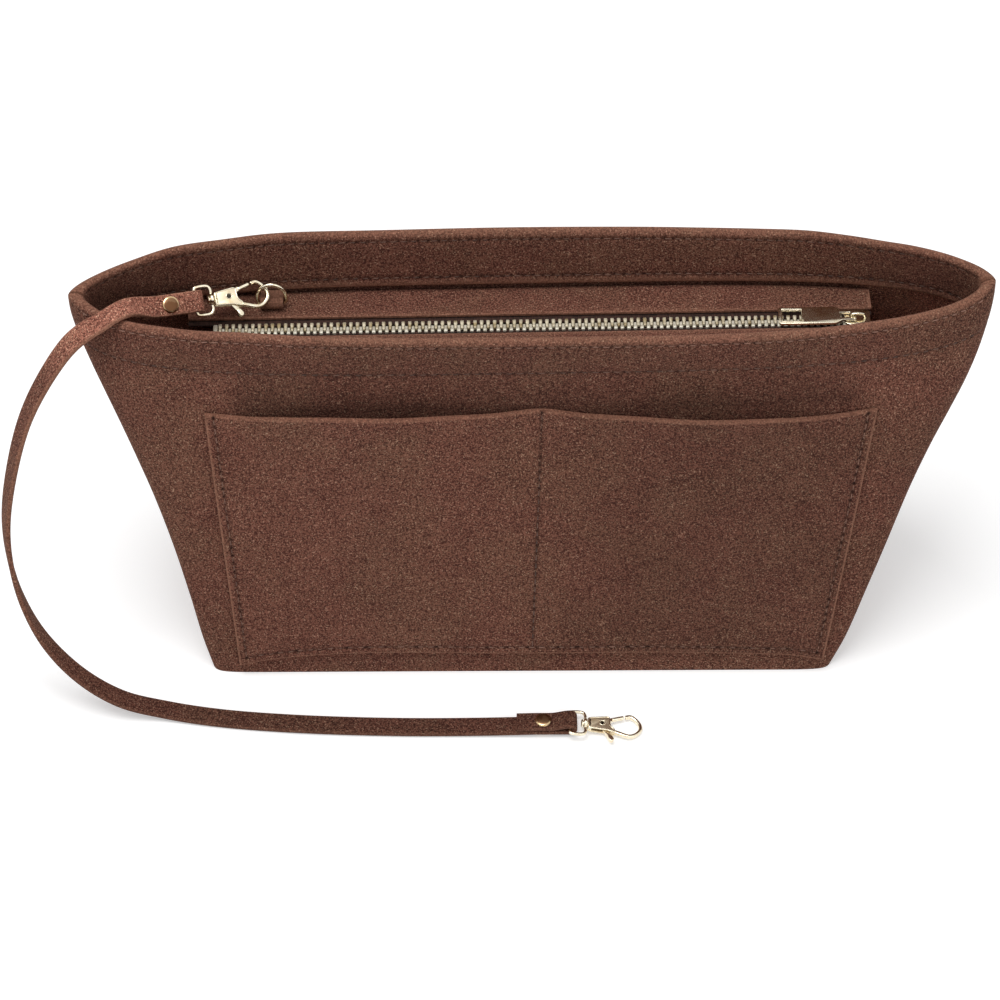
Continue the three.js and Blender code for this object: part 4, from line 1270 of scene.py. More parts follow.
@dataclass
class SlipPocket:
    """A felt panel sewn to a wall at its sides, foot and middle, which makes two pockets."""

    shape: PouchShape
    side: Side
    thickness: float = 2.0
    foot: float = 4
    top: float = 142
    bottom_width: float = 257
    top_width: float = 278
    shift: float = 4
    slack: float = 6.5
    stand_off: float = 0.5
    margin: float = 3.6
    pitch: float = 4.5
    groove: float = 0.8
    groove_width: float = 1.0
    dent_width: float = 0.75
    # Painted shade along each stitch groove, as a share of the needle holes' darkness.
    groove_shade: float = 0.34
    edge_round: float = 0.8
    mouth_margin: float = 1.2
    # Painted shade of the stitch rows: left side, right side, middle and foot.
    painted_thread_shade: tuple[float, float, float, float] = (-0.25, -0.1, -0.55, -0.05)

    def surface(self, across: Array, up: Array, lift: Array) -> Array:
        """The panel's points: across and up run 0..1, and lift is the distance off its inner face.

        The slack is a squared sine over each of the two pockets, and grows with a power of the height.
        The heights run evenly from the foot's measured line to the mouths'.

        Args:
            across: places from the left edge to the right.
            up: places from the foot to the mouth.
            lift: distances off the inner face.

        Returns:
            The points.
        """
        low = self.shape.read(POCKET_FOOT, 100 * across)
        z = low + (self.shape.read(POCKET_MOUTH, 100 * across) - low) * up
        width = self.bottom_width + (self.top_width - self.bottom_width) * up
        x = (across - 0.5) * width + self.shift - self.shape.read(SIDE_SHIFT, z)
        flat = self.shape.depth_at(x, z)
        slack = self.slack * np.sin(2 * np.pi * across) ** 2 * up**1.3
        y = self.side.value * (flat + self.stand_off + slack + lift)
        return self.shape.stand(np.stack([x, y, z], axis=-1))

    def panel(self, width: float, tall: float) -> Shape:
        """The panel: two grids that are finer near edges and stitch rows, closed round their border.

        Grooves are bell curves across the rows, deepest at the needle holes, and the outer grid's edge
        is rounded by a quarter circle.

        Args:
            width: the panel's mean width.
            tall: its height.

        Returns:
            The panel's shape, with its edge, hole and tone marks: a pale cut edge that is partly a painted
            highlight, painted shade in the stitch grooves, and painted shade towards the right.
        """
        near = np.array([-1.7, -1.1, -0.6, -0.3, 0, 0.3, 0.6, 1.1, 1.7])
        rim = np.array([0, 0.15, 0.4, 0.8, 1.2])
        between = np.linspace(6, width / 2 - 3, 44)
        half = np.unique(np.r_[rim, self.margin + near, between, width / 2 + near[near <= 0]])
        columns = np.r_[half, (width - half)[::-1][1:]] / width
        rows = np.unique(np.r_[rim, self.margin + near, np.linspace(6, tall - 1, 90), tall - rim]) / tall
        across, up = np.meshgrid(columns, rows)
        side_run = np.minimum(across, 1 - across) * width
        foot_run, middle_run = up * tall, np.abs(across - 0.5) * width
        border = np.minimum(np.minimum(side_run, foot_run), (1 - up) * tall)
        inward = 1 - np.clip(border / self.edge_round, 0, 1)
        rounding = self.edge_round * (1 - np.sqrt(np.clip(1 - inward**2, 0, 1)))
        upward, sideward = self.counts(width, tall)
        high, long = tall - self.margin - self.mouth_margin, width - 2 * self.margin
        beat_up = np.cos(2 * np.pi * upward * (up * tall - self.margin) / high)
        beat_across = np.cos(2 * np.pi * sideward * (across * width - self.margin) / long)
        inside = (side_run > self.margin - 0.8) & (foot_run > self.margin - 0.8)
        press = np.zeros_like(across)
        hole = np.zeros_like(across)
        sides, foot = (side_run - self.margin, beat_up), (foot_run - self.margin, beat_across)
        for run, beat in (sides, foot, (middle_run, beat_up)):
            bell = np.exp(-((run / self.groove_width) ** 2)) * inside
            press = np.maximum(press, bell * (0.65 + 0.35 * beat))
            # Painted shade: a dark line along each groove, darkest at the needle holes.
            dent = np.exp(-((run / self.dent_width) ** 2)) * inside
            share = self.groove_shade + (1 - self.groove_shade) * np.clip(beat, 0, 1) ** 2
            hole = np.maximum(hole, dent * share)
        outer = self.surface(across, up, self.thickness - self.groove * press - rounding)
        soft = 0.22 * ripple(outer, 60, 1.3 * self.side.value) + 0.1 * ripple(outer, 19, 0.4)
        outer[..., 1] += self.side.value * np.clip(soft * smooth(border / 12), -0.3, 0.3)
        inner = self.surface(across, up, np.zeros_like(across))
        rows_count, columns_count = across.shape
        size = rows_count * columns_count
        face = grid_quads(rows_count, columns_count)
        index = np.arange(size).reshape(rows_count, columns_count)
        loop = np.r_[index[0, :-1], index[:-1, -1], index[-1, :0:-1], index[:0:-1, 0]]
        following = np.roll(loop, -1)
        strip = np.c_[loop, loop + size, following + size, following]
        # Pale cut edge: partly raw fibres, partly a painted highlight.
        mark = smooth((1.15 - border) / 0.6) * (1 - 0.5 * smooth((tall * (up - 1) + 3) / 2))
        # Painted shade, darker towards the right.
        tone = -0.2 * smooth((across - 0.46) / 0.2)
        holes = np.r_[hole.ravel(), np.zeros(size)]
        marks = {"edge": np.tile(mark.ravel(), 2), "hole": holes, "tone": np.tile(tone.ravel(), 2)}
        quads = np.vstack([face[:, ::-1], face + size, strip])
        return Shape(np.vstack([outer.reshape(-1, 3), inner.reshape(-1, 3)]), quads, [], marks)

    def counts(self, width: float, tall: float) -> tuple[int, int]:
        """How many stitches run up the panel, and how many along its foot."""
        upward = int((tall - self.margin - self.mouth_margin) / self.pitch)
        return upward, int((width - 2 * self.margin) / self.pitch)

    def rows_of_stitches(self, width: float, tall: float) -> Shape:
        """Stitches up both sides, along the foot and up the middle.

        Args:
            width: the panel's mean width.
            tall: its height.

        Returns:
            The stitches' shape.
        """
        margin, lift = self.margin, self.thickness - self.groove * 0.85
        ways = []
        fine = np.linspace(0, 1, 160)[None]
        for share in (margin / width, 1 - margin / width, 0.5):
            up = (margin + (tall - margin - self.mouth_margin) * fine) / tall
            ways.append(self.points_along(np.full_like(fine, share), up, lift))
        across = (margin + (width - 2 * margin) * fine) / width
        ways.append(self.points_along(across, np.full_like(fine, margin / tall), lift))
        out = np.repeat([[0.0, float(self.side.value), 0.0]], fine.size, axis=0)
        upward, sideward = self.counts(width, tall)
        rows = zip(ways, (upward, upward, upward, sideward), self.painted_thread_shade)
        return joined([stitches(way, out, count, 0, tone) for way, count, tone in rows])

    def points_along(self, across: Array, up: Array, lift: float) -> Array:
        """Points on the panel along a line of its own two directions."""
        return self.surface(across.T, up.T, np.full_like(across.T, lift))[:, 0]

    def build(self) -> None:
        """Makes the panel and its stitches."""
        width, tall = (self.bottom_width + self.top_width) / 2, self.top - self.foot
        panel, rows = self.panel(width, tall), self.rows_of_stitches(width, tall)
        name = self.side.name.lower()
        make_piece(f"{name}_slip_pocket", panel, "pouch", Finish.FELT, (f"{name}_pocket",))
        make_piece(f"{name}_pocket_stitches", rows, "pouch", Finish.THREAD)


@dataclass
class ZipLid:
    """The recessed lid: two felt strips, the zip's tapes and teeth, its stops, slider and puller."""

    shape: PouchShape
    drop: float = 28
    length: float = 286
    thickness: float = 2.0
    zip_y: float = 6
    slot: float = 10.4
    seat_gap: float = 0.6
    tape: float = 0.6
    chain_length: float = 269
    chain_shift: float = 4.2
    pitch: float = 2.73
    slider_length: float = 11
    slider_width: float = 9.4
    slider_past_end: float = 3.4
    slider_plate: float = 0.9
    slider_round: float = 0.28
    flange: float = 0.78
    play: float = 0.35
    tooth_height: float = 2.4
    bail_width: float = 2.1
    bail_height: float = 0.95
    puller_width: float = 9.6
    puller_plate: float = 1.2
    puller_back: float = 1.5
    puller_rise: float = 0.85
    stop_width: float = 1.9
    stop_height: float = 2.3
    stop_gap: float = 1.3
    tape_inner: float = 3.4
    tape_outer: float = 15.4
    bead: float = 1.15
    bead_place: float = 2.75

    def __post_init__(self) -> None:
        """Works out the lid's place and the chain's ends."""
        s = self.shape
        self.level = s.height - self.drop
        self.turn = s.rim_turn * self.level / s.height
        self.bend = float(s.read(SIDE_SHIFT, self.level))
        self.start = -self.chain_length / 2 + self.chain_shift
        self.end = self.start + self.chain_length
        self.tape_top = -self.thickness - s.gap
        self.middle = self.tape_top - self.tape / 2
        self.slider_x = self.end - self.slider_length / 2 + self.slider_past_end
        c, sn = np.cos(self.turn), np.sin(self.turn)
        lean = s.rim_lean * self.level / s.height
        self.matrix = np.array([[c, -sn, 0, lean], [sn, c, 0, 0], [0, 0, 1, self.level], [0, 0, 0, 1]])

    def strip(self, sign: int) -> Shape:
        """A felt strip: a rounded section from wall to slot, swept along the lid with a slight dip.

        Args:
            sign: -1 for the front strip and 1 for the rear one.

        Returns:
            The strip's shape.
        """
        s = self.shape
        bunched = self.length / 2 * np.sin(np.linspace(-np.pi / 2, np.pi / 2, 150))
        x = np.unique(np.r_[bunched, np.linspace(-142, 142, 100)])
        rows = [s.half_depth(x - self.bend, z, s.felt) for z in (self.level, self.level - self.thickness)]
        inner = np.minimum(*rows) - self.seat_gap
        wall = sign * inner
        slot = np.full_like(x, self.zip_y + sign * self.slot / 2)
        share = np.r_[np.linspace(0, 1, 24), np.linspace(1, 0, 24)]
        round_y = 0.55 * np.r_[1, 0.4, np.zeros(20), 0.4, 1, 1, 0.4, np.zeros(20), 0.4, 1]
        height = np.r_[-0.5, -0.12, np.zeros(20), -0.12, -0.5, -1.5, -1.88, np.full(20, -2.0), -1.88, -1.5]
        near_slot = share**6
        y = wall[:, None] + (slot - wall)[:, None] * share[None]
        inward = np.sign(0.5 - share) * sign * -1
        y = y + inward[None] * round_y[None] * 0.5
        z = np.broadcast_to(height[None], y.shape) - 0.12 * near_slot[None]
        grid = np.stack([np.broadcast_to(x[:, None], y.shape), y, z], axis=-1)
        held = (1 - share[None] ** 4) * smooth((self.length / 2 - np.abs(x)) / 8)[:, None]
        grid[..., 2] += 0.25 * (ripple(grid, 70, 0.9 + sign) - 1) * held
        shape = loft(grid)
        ends = np.exp(-(self.length / 2 - np.abs(x)) / 0.8)
        mark = np.maximum(ends[:, None], np.exp(-np.abs(share - 1) * 18)[None] * 0.8)
        shape.marks = {"edge": mark.ravel()}
        return shape.moved(self.matrix)

    def tape_strip(self, sign: int) -> Shape:
        """A woven tape with the corded bead that its teeth grip.

        Args:
            sign: -1 for the front tape and 1 for the rear one.

        Returns:
            The tape's shape.
        """
        x = np.linspace(-self.length / 2, self.length / 2, 120)
        near = self.zip_y + sign * self.tape_inner
        far = self.zip_y + sign * self.tape_outer
        top, low = self.tape_top - 0.02, self.tape_top - self.tape + 0.02
        y = np.array([near, near + sign * 0.1, far - sign * 0.1, far, far - sign * 0.1, near + sign * 0.1])
        z = np.array([self.middle, top, top, self.middle, low, low])
        flat = loft(np.array([np.c_[np.full(6, place), y, z] for place in x]))
        bead_x = np.linspace(self.start, self.end, 220)
        bead_y = self.zip_y + sign * self.bead_place
        line = np.c_[bead_x, np.full(220, bead_y), np.full(220, self.middle)]
        cord = tube(line, self.bead, self.bead, UP, 10)
        return joined([flat, cord]).moved(self.matrix)

    def teeth(self, sign: int) -> Shape:
        """A row of cast teeth, one shape repeated at the pitch.

        Each tooth is a run of rounded rectangles along Y: broad jaws on the bead, a waist, and a
        head whose top is crowned.

        Args:
            sign: -1 for the front row and 1 for the rear one.

        Returns:
            The row's shape.
        """
        count = int(self.chain_length / self.pitch)
        reach = np.array([3.15, 3.05, 2.6, 2.0, 1.5, 1.15, 0.5, -0.3, -0.8, -0.95])
        wide = np.array([1.25, 1.45, 1.55, 1.55, 1.45, 1.25, 1.12, 1.2, 1.12, 0.8])
        tall = np.array([1.9, 2.3, 2.5, 2.5, 2.35, 1.9, 1.8, 1.9, 1.5, 0.9])
        rows, sides = len(reach), 12
        size = rows * sides
        turn = 2 * np.pi * (np.arange(sides) + 0.5) / sides
        cosine, sine = np.cos(turn), np.sin(turn)
        box_x = np.sign(cosine) * np.abs(cosine) ** 0.3
        box_z = np.sign(sine) * np.abs(sine) ** 0.3
        y = np.broadcast_to(sign * reach[:, None], (rows, sides))
        z = tall[:, None] / 2 * box_z + self.middle
        tooth = np.stack([wide[:, None] / 2 * box_x, y, z], axis=-1)
        places = self.start + (np.arange(count) + (0.25 if sign > 0 else 0.75)) * self.pitch
        shifts = np.c_[places, np.zeros((count, 2))]
        points = tooth[None] + np.array([0, self.zip_y, 0]) + shifts[:, None, None]
        starts = np.arange(count) * size
        quads = (grid_quads(rows, sides, False, True)[None] + starts[:, None, None]).reshape(-1, 4)
        caps = []
        for start in starts.tolist():
            caps += [list(range(start, start + sides))[::-1], list(range(start + size - sides, start + size))]
        # The rear row is marked satin, which paints it darker: painted shade.
        shaded_row = np.full(count * size, float(sign > 0))
        return Shape(points.reshape(-1, 3), quads, caps, {"satin": shaded_row}).moved(self.matrix)

    def stop(self, x: float, low: float, high: float) -> Shape:
        """A crimped stop: a short rounded bar across one bead or both."""
        path = np.array([[x, self.zip_y + y, self.middle] for y in np.linspace(low, high, 6)])
        return tube(path, self.stop_width, self.stop_height, UP, 16, 4).moved(self.matrix)

    def slider(self) -> Shape:
        """The slider: two shield-shaped plates, side flanges, wedge and arched bail.

        Returns:
            The slider's shape at the chain's end.
        """
        tail, mouth, half = -self.slider_length / 2, self.slider_length / 2, self.slider_width / 2
        lower = [[tail, -2.9], [tail + 0.8, -3.6], [tail + 3, -half + 0.25], [mouth - 3, -half]]
        lower += [[mouth - 0.9, -half + 0.5], [mouth, -half + 1.9]]
        upper = [[x, -y] for x, y in lower[::-1]]
        corners = np.array(lower + [[mouth - 0.25, 0]] + upper + [[tail, 0]])
        outline = spline(np.vstack([corners, corners[:1]]), 4)[:-1]
        top = self.middle + self.tooth_height / 2 + self.play
        low = self.middle - self.tooth_height / 2 - self.play
        deck, soffit = top + self.slider_plate, low - self.slider_plate
        parts = [plate([outline], top, deck, self.slider_round, 3)]
        parts.append(plate([outline], soffit, low, self.slider_round, 3))
        flanges = (
            (top + 0.4, self.tape_top + self.play),
            (self.tape_top - self.tape - self.play, low - 0.4),
        )
        for sign in (-1, 1):
            for high, bottom in flanges:
                line = np.linspace(tail + 1.6, mouth - 2.2, 5)
                path = np.array([[x, sign * (half - 0.42), (high + bottom) / 2] for x in line])
                parts.append(tube(path, self.flange, high - bottom, UP, 12, 4))
        post = [[-2.8, 0], [-1.4, -0.85], [-0.4, -0.3], [-0.4, 0.3], [-1.4, 0.85]]
        wedge = np.array([[mouth + x, y] for x, y in post])
        parts.append(plate([wedge], low - 0.4, top + 0.4, 0.1, 1))
        rise = [[-3.1, -0.4], [-3.1, 0.9], [-2.6, 2.15], [-1.2, 2.5]]
        fall = [[1.2, 2.5], [2.6, 2.1], [3.0, 0.8], [3.0, -0.4]]
        arch = spline(np.array([[x, deck + z] for x, z in rise + fall]), 5)
        path = np.c_[arch[:, 0], np.zeros(len(arch)), arch[:, 1]]
        across = np.cross(unit(np.gradient(path, axis=0)), [0, 1.0, 0])
        parts.append(tube(path, self.bail_width, self.bail_height, across, 16, 4))
        place = np.eye(4)
        place[:3, 3] = [self.slider_x, self.zip_y, 0]
        return joined(parts).moved(self.matrix @ place)

    def puller(self) -> Shape:
        """The puller: a plate with a window at its free end and an eye over the bail's bar.

        Returns:
            The puller's shape, lying back along the zip.
        """
        half, thick = self.puller_width / 2, self.puller_plate / 2
        x = np.array([-31.6, -31.6, -30.8, -8, -5, 0.35, 0.7, 0.7, 0.35, -5, -8, -30.8])
        y = np.array([half - 0.8, -half + 0.8, -half, -half, -2.9, -2.9, -2.4, 2.4, 2.9, 2.9, half, half])
        window = np.array([[-30, -3.2], [-30, 3.2], [-22, 3.2], [-22, -3.2]])
        eye = np.array([[-6, -1.4], [-6, 1.4], [-0.7, 1.4], [-0.7, -1.4]])
        parts = [plate([np.c_[x, y], window, eye], -thick, thick, 0.22, 3)]
        bar = np.array([[0, y, 0] for y in np.linspace(-2.6, 2.6, 7)])
        parts.append(tube(bar, 1.35, 1.35, UP, 16))
        for window_x in (-30.35, -21.65):
            rib = np.array([[window_x, y, 0.5] for y in np.linspace(-3.3, 3.3, 6)])
            parts.append(tube(rib, 0.5, 0.5, UP, 10))
        for sign in (-1, 1):
            rib = np.array([[x, sign * 3.75, 0.5] for x in np.linspace(-30.2, -21.8, 6)])
            parts.append(tube(rib, 0.5, 0.5, UP, 10))
        place = np.eye(4)
        place[:3, 3] = [self.slider_x - self.puller_back, self.zip_y, self.puller_rise]
        return joined(parts).moved(self.matrix @ place)

    def build(self) -> None:
        """Makes every piece of the lid."""
        for sign, name in ((-1, "front"), (1, "rear")):
            felt, tape, row = self.strip(sign), self.tape_strip(sign), self.teeth(sign)
            make_piece(f"{name}_lid_felt", felt, "pouch", Finish.FELT, (f"{name}_zip_strip",))
            make_piece(f"{name}_zip_weave", tape, "pouch", Finish.TAPE, (f"{name}_zip_tape",))
            make_piece(f"{name}_zip_teeth", row, "pouch", Finish.TEETH, (f"{name}_teeth",))
            low, high = sorted((sign * 1.7, sign * 2.9))
            stop = self.stop(self.end + self.stop_gap, low, high)
            make_piece(f"{name}_zip_stop", stop, "pouch", Finish.TEETH, (f"{name}_top_stop",))
        stop = self.stop(self.start - self.stop_gap, -2.6, 2.6)
        make_piece("zip_bottom_stop", stop, "pouch", Finish.TEETH, ("bottom_stop",))
        make_piece("zip_slider_cast", self.slider(), "zip_slider", Finish.GOLD, ("slider_body",))
        make_piece("zip_puller_plate", self.puller(), "zip_puller", Finish.GOLD, ("puller",))


@dataclass
class RingTab:
    """The felt tab folded round the D-ring's bar, and the ring."""

    lid: ZipLid
    width: float = 9.6
    layer: float = 1.8
    place: float = -108
    reach: float = 9.11
    wire: float = 1.6
    leg: float = 3.5
    ring_height: float = 10
    slit: float = 0.3
    closing: float = 3.5
    tone: float = -0.25

    def __post_init__(self) -> None:
        """Works out where the ring's bar lies."""
        s = self.lid.shape
        edge = self.place - self.width / 2 - self.lid.bend
        self.bar_z = 2 * s.gap + self.layer + self.wire / 2
        self.fold = self.wire / 2 + s.gap + self.layer
        hem = s.half_depth(np.array([edge]), s.height - s.hem_drop, 2 * s.felt + s.gap)
        wall = s.half_depth(np.array([edge]), self.lid.level, s.felt)
        self.rear = float(hem[0]) - self.lid.seat_gap
        self.foot = float(wall[0]) - self.lid.seat_gap
        self.bar_y = self.rear - self.reach + self.fold

    def tab(self) -> Shape:
        """The folded strip: its side outline, given the tab's width with rounded edges.

        Returns:
            The tab's shape, with its edge and tone marks.
        """
        gap = self.lid.shape.gap
        turn = np.linspace(np.pi / 2, 1.5 * np.pi, 17)
        close, low = self.bar_y + self.closing, gap
        top = low + 2 * self.layer + gap
        outer = [[self.rear, top], [close + 1, top + 0.05], [close, top + 0.35]]
        outer += [[self.bar_y + self.fold * np.cos(a), self.bar_z + self.fold * np.sin(a)] for a in turn]
        outer += [[self.foot, low], [self.foot, low + self.layer], [close, low + self.layer]]
        inner = self.wire / 2 + gap
        outer += [[self.bar_y + inner * np.cos(a), self.bar_z + inner * np.sin(a)] for a in turn[::-1]]
        outer += [[close, low + self.layer + gap], [self.rear, low + self.layer + gap]]
        flat = plate([np.array(outer)], -self.width / 2, self.width / 2, 0.12, 2)
        edges = 0.6 * smooth(np.abs(flat.points[:, 2]) - self.width / 2 + 1)
        flat.marks = {"edge": edges, "tone": np.full(len(flat.points), self.tone)}
        turned_over = np.array([[0, 0, 1, self.place], [1, 0, 0, 0], [0, 1, 0, 0], [0, 0, 0, 1.0]])
        return flat.moved(self.lid.matrix @ turned_over)

    def ring(self) -> Shape:
        """The D-ring: round wire along its bar, legs and half ellipse, parted in the bar.

        Returns:
            The ring's shape.
        """
        half = self.width / 2 + self.lid.shape.gap + self.wire / 2
        right = [[self.slit / 2, 0], [half / 2, 0], [half - 1, 0], [half, 1], [half, self.leg]]
        crown = self.ring_height - self.leg
        arc = [[half * np.cos(a), self.leg + crown * np.sin(a)] for a in np.pi * np.arange(1, 10) / 10]
        left = [[-x, z] for x, z in right[::-1]]
        flat = spline(np.array(right + arc + left), 5)
        path = np.c_[flat[:, 0] + self.place, np.full(len(flat), self.bar_y), flat[:, 1] + self.bar_z]
        return tube(path, self.wire, self.wire, np.array([0, 1.0, 0]), 20).moved(self.lid.matrix)

    def build(self) -> None:
        """Makes the tab and the ring."""
        make_piece("ring_tab_felt", self.tab(), "pouch", Finish.FELT, ("ring_tab",))
        make_piece("d_ring_wire", self.ring(), "ring", Finish.GOLD, ("tab_ring",))


@dataclass
class SwivelClasp:
    """A swivel clasp in its own frame: X from eye to tip, the gate on +Y, its pivot at the origin."""

    end: End
    pivot: Point
    to_tip: Point
    to_gate: Point
    swivel: float
    eye_wire: float = 1.4
    eye_reach: float = 14
    collar_x: float = -7.3
    claw_wire: float = 2.0
    slot_width: float = 1.6
    body_width: float = 2.9
    hole_radius: float = 0.9
    hub_radius: float = 1.9
    arm_plate: float = 0.96
    thumb_plate: float = 2.0
    strap_width: float = 9

    def __post_init__(self) -> None:
        """Works out the clasp's frame and the frame of its hook, turned by the swivel."""
        self.along = unit(np.array(self.to_tip, float))
        self.up = unit(np.cross(self.along, np.array(self.to_gate, float)))
        self.across = np.cross(self.up, self.along)
        self.matrix = np.eye(4)
        self.matrix[:3, :3] = np.c_[self.along, self.across, self.up]
        self.matrix[:3, 3] = self.pivot
        c, s = np.cos(np.radians(self.swivel)), np.sin(np.radians(self.swivel))
        self.hook_matrix = self.matrix @ np.array([[1, 0, 0, 0], [0, c, -s, 0], [0, s, c, 0], [0, 0, 0, 1.0]])
        self.bar = np.array(self.pivot) - self.eye_reach * self.along

    def eye(self) -> Shape:
        """The strap's eye: a bow of even wire round the strap's end, on a bored collar.

        Returns:
            The eye's shape.
        """
        half = self.strap_width / 2 + 0.5 + self.eye_wire / 2
        middle, far = self.collar_x, -self.eye_reach
        arm = [[middle, 2.0], [middle, half - 1.5], [middle - 1, half]]
        arm += [[far + 0.45, half], [far, half - 0.45]]
        points = np.array([[x, -y, 0] for x, y in arm] + [[x, y, 0] for x, y in arm[::-1]])
        path = spline(points, 8)
        bow = tube(path, self.eye_wire, self.eye_wire, UP, 16, 2.4)
        lower = [[1.55, -0.75], [2.1, -0.8], [2.45, -0.45]]
        upper = [[radius, -height] for radius, height in lower[::-1]]
        profile = np.array(lower + [[2.55, 0]] + upper + [[1.5, 0]])
        collar = ringed(profile).moved(self.x_axis(middle))
        return joined([bow, collar]).moved(self.matrix)

    @staticmethod
    def x_axis(x: float) -> Array:
        """Turns a piece made about Z onto the clasp's X axis, at a place along it."""
        return np.array([[0, 0, 1, x], [0, 1, 0, 0], [-1, 0, 0, 0], [0, 0, 0, 1.0]])

    def claw(self) -> Shape:
        """The claw: a rounded bar along a bent line, thicker at its root and blunt at its nose.

        Returns:
            The claw's shape.
        """
        arm = [[3.9, -3.35], [5.6, -3.95], [7.6, -4.6], [9.6, -5.35], [11.8, -5.75], [13.7, -5.2]]
        bend = [[15.2, -4.1], [16.4, -2.5], [16.8, -0.8], [16.5, 0.8], [15.7, 2.2], [14.6, 3.5]]
        nose = [[13.2, 4.6], [11.9, 4.85], [10.5, 4.35]]
        path = spline(np.array(arm + bend + nose), 5)
        share = np.linspace(0, 1, len(path))
        width = self.claw_wire - 0.3 * smooth(share * 3) + 0.1 * smooth((share - 0.75) * 4)
        return tube(np.c_[path, np.zeros(len(path))], width, self.claw_wire, UP, 18, 2.6, 1)

    def body_outline(self) -> Array:
        """The body's side outline: narrow at the shank, broad where the claw and gate leave it.

        Returns:
            Its corners.
        """
        claw_side = [[-6.2, -2.7], [-5.9, -3.0], [-2, -3.4], [2.25, -3.95], [5.2, -4.75], [5.6, -4.3]]
        mouth = [[5.3, -3.3], [4.1, -2.1], [3.5, -0.6], [3.4, 1.6], [3.3, 2.9]]
        gate_side = [[2.7, 3.45], [2.1, 3.5], [-2, 3.0], [-5.9, 2.3], [-6.2, 2.0]]
        return np.array(claw_side + mouth + gate_side)

    def hook(self) -> Shape:
        """The hook: claw, two bored cheeks with raised rims, back wall, shank and peened head.

        Returns:
            The hook's shape.
        """
        outline = self.body_outline()
        angle = 2 * np.pi * np.arange(20) / 20
        hole = self.hole_radius * np.c_[np.cos(-angle), np.sin(-angle)]
        parts = [self.claw()]
        for sign in (-1, 1):
            low, high = sorted((sign * self.slot_width / 2, sign * self.body_width / 2))
            cheek = plate([outline, hole], low, high, 0.15, 2)
            # Satin cheeks: rougher, and painted darker, a painted reflection of the felt.
            cheek.marks = {"satin": np.ones(len(cheek.points))}
            parts.append(cheek)
            centre = outline.mean(axis=0)
            rim = spline(np.vstack([outline, outline[:1]]), 3)
            rim = centre + (rim - centre) * 0.93
            path = np.c_[rim, np.full(len(rim), sign * 1.38)]
            parts.append(tube(path, 0.62, 0.5, UP, 10))
            ring = 1.25 * np.c_[np.cos(angle), np.sin(angle)]
            path = np.c_[np.vstack([ring, ring[:2]]), np.full(len(ring) + 2, sign * 1.42)]
            parts.append(tube(path, 0.4, 0.36, UP, 8))
        back = np.array([[-6.15, -2.6], [-4.75, -2.9], [-4.75, 2.3], [-6.15, 1.95]])
        parts.append(plate([back], -self.body_width / 2, self.body_width / 2, 0.3, 2))
        head = [[0, -9.2], [1.5, -9.15], [1.85, -8.9], [1.8, -8.55], [1.2, -8.4]]
        shank = np.array(head + [[1.2, -5.2], [0, -5.2]])
        parts.append(turned(shank, 32).moved(self.x_axis(0)))
        return joined(parts).moved(self.hook_matrix)

    def gate(self) -> Shape:
        """The gate: hub, arm and thumb lever as thin plates, thicker where a finger or the ring touches it.

        Returns:
            The gate's shape.
        """
        angle = 2 * np.pi * np.arange(24) / 24
        hub = self.hub_radius * np.c_[np.cos(angle), np.sin(angle)]
        hole = self.hole_radius * np.c_[np.cos(-angle[::2]), np.sin(-angle[::2])]
        parts = [plate([hub, hole], -0.5, 0.5, 0.1, 1)]
        arm = np.array([[1.2, 1.4], [3, 1.25], [4.8, 1.9], [4.6, 3.6], [2.1, 3.05], [0.2, 1.8]])
        parts.append(plate([arm], -self.arm_plate / 2, self.arm_plate / 2, 0.1, 1))
        path = np.array([[4.7, 2.75, 0], [6.4, 3.3, 0], [8.2, 3.85, 0], [9.38, 4.2, 0]])
        parts.append(tube(spline(path, 4), 1.65, 1.9, UP, 16, 2.8, 1))
        lever = np.array([[-0.6, -1.5], [0.3, -3.6], [2.2, -6.6], [3.7, -5.9], [1.7, -2.4], [1.3, -1.1]])
        parts.append(plate([lever], -self.arm_plate / 2, self.arm_plate / 2, 0.1, 1))
        thumb = [[2.05, -6.2], [2.75, -8.2], [3.2, -8.9], [3.9, -9.15]]
        thumb += [[4.7, -8.7], [5.0, -8.0], [4.75, -7.2], [3.75, -5.75]]
        parts.append(plate([np.array(thumb)], -self.thumb_plate / 2, self.thumb_plate / 2, 0.35, 3))
        return joined(parts).moved(self.hook_matrix)

    def build(self) -> list[bpy.types.Object]:
        """Makes the clasp's pieces and dresses its pin and spring.

        Returns:
            Every piece that goes along with the strap.
        """
        end = self.end.value
        near = self.end is End.NEAR
        eye_body = "pouch" if near else "far_eye"
        hook_body, gate_body, gold = f"{end}_clasp", f"{end}_clasp_gate", Finish.GOLD
        pieces = [
            make_piece(f"{end}_eye_bow", self.eye(), eye_body, gold, (f"{end}_swivel_eye",)),
            make_piece(f"{end}_claw_hook", self.hook(), hook_body, gold, (f"{end}_hook",)),
            make_piece(f"{end}_thumb_gate", self.gate(), gate_body, gold, (f"{end}_gate",)),
        ]
        for node, kind in (("gate_pin", Finish.PIN), ("gate_spring", Finish.STEEL)):
            shown = bpy.data.objects[f"{end}_{node}"]
            shown.material_slots[0].material = finish(kind)
            pieces.append(shown)
        return pieces


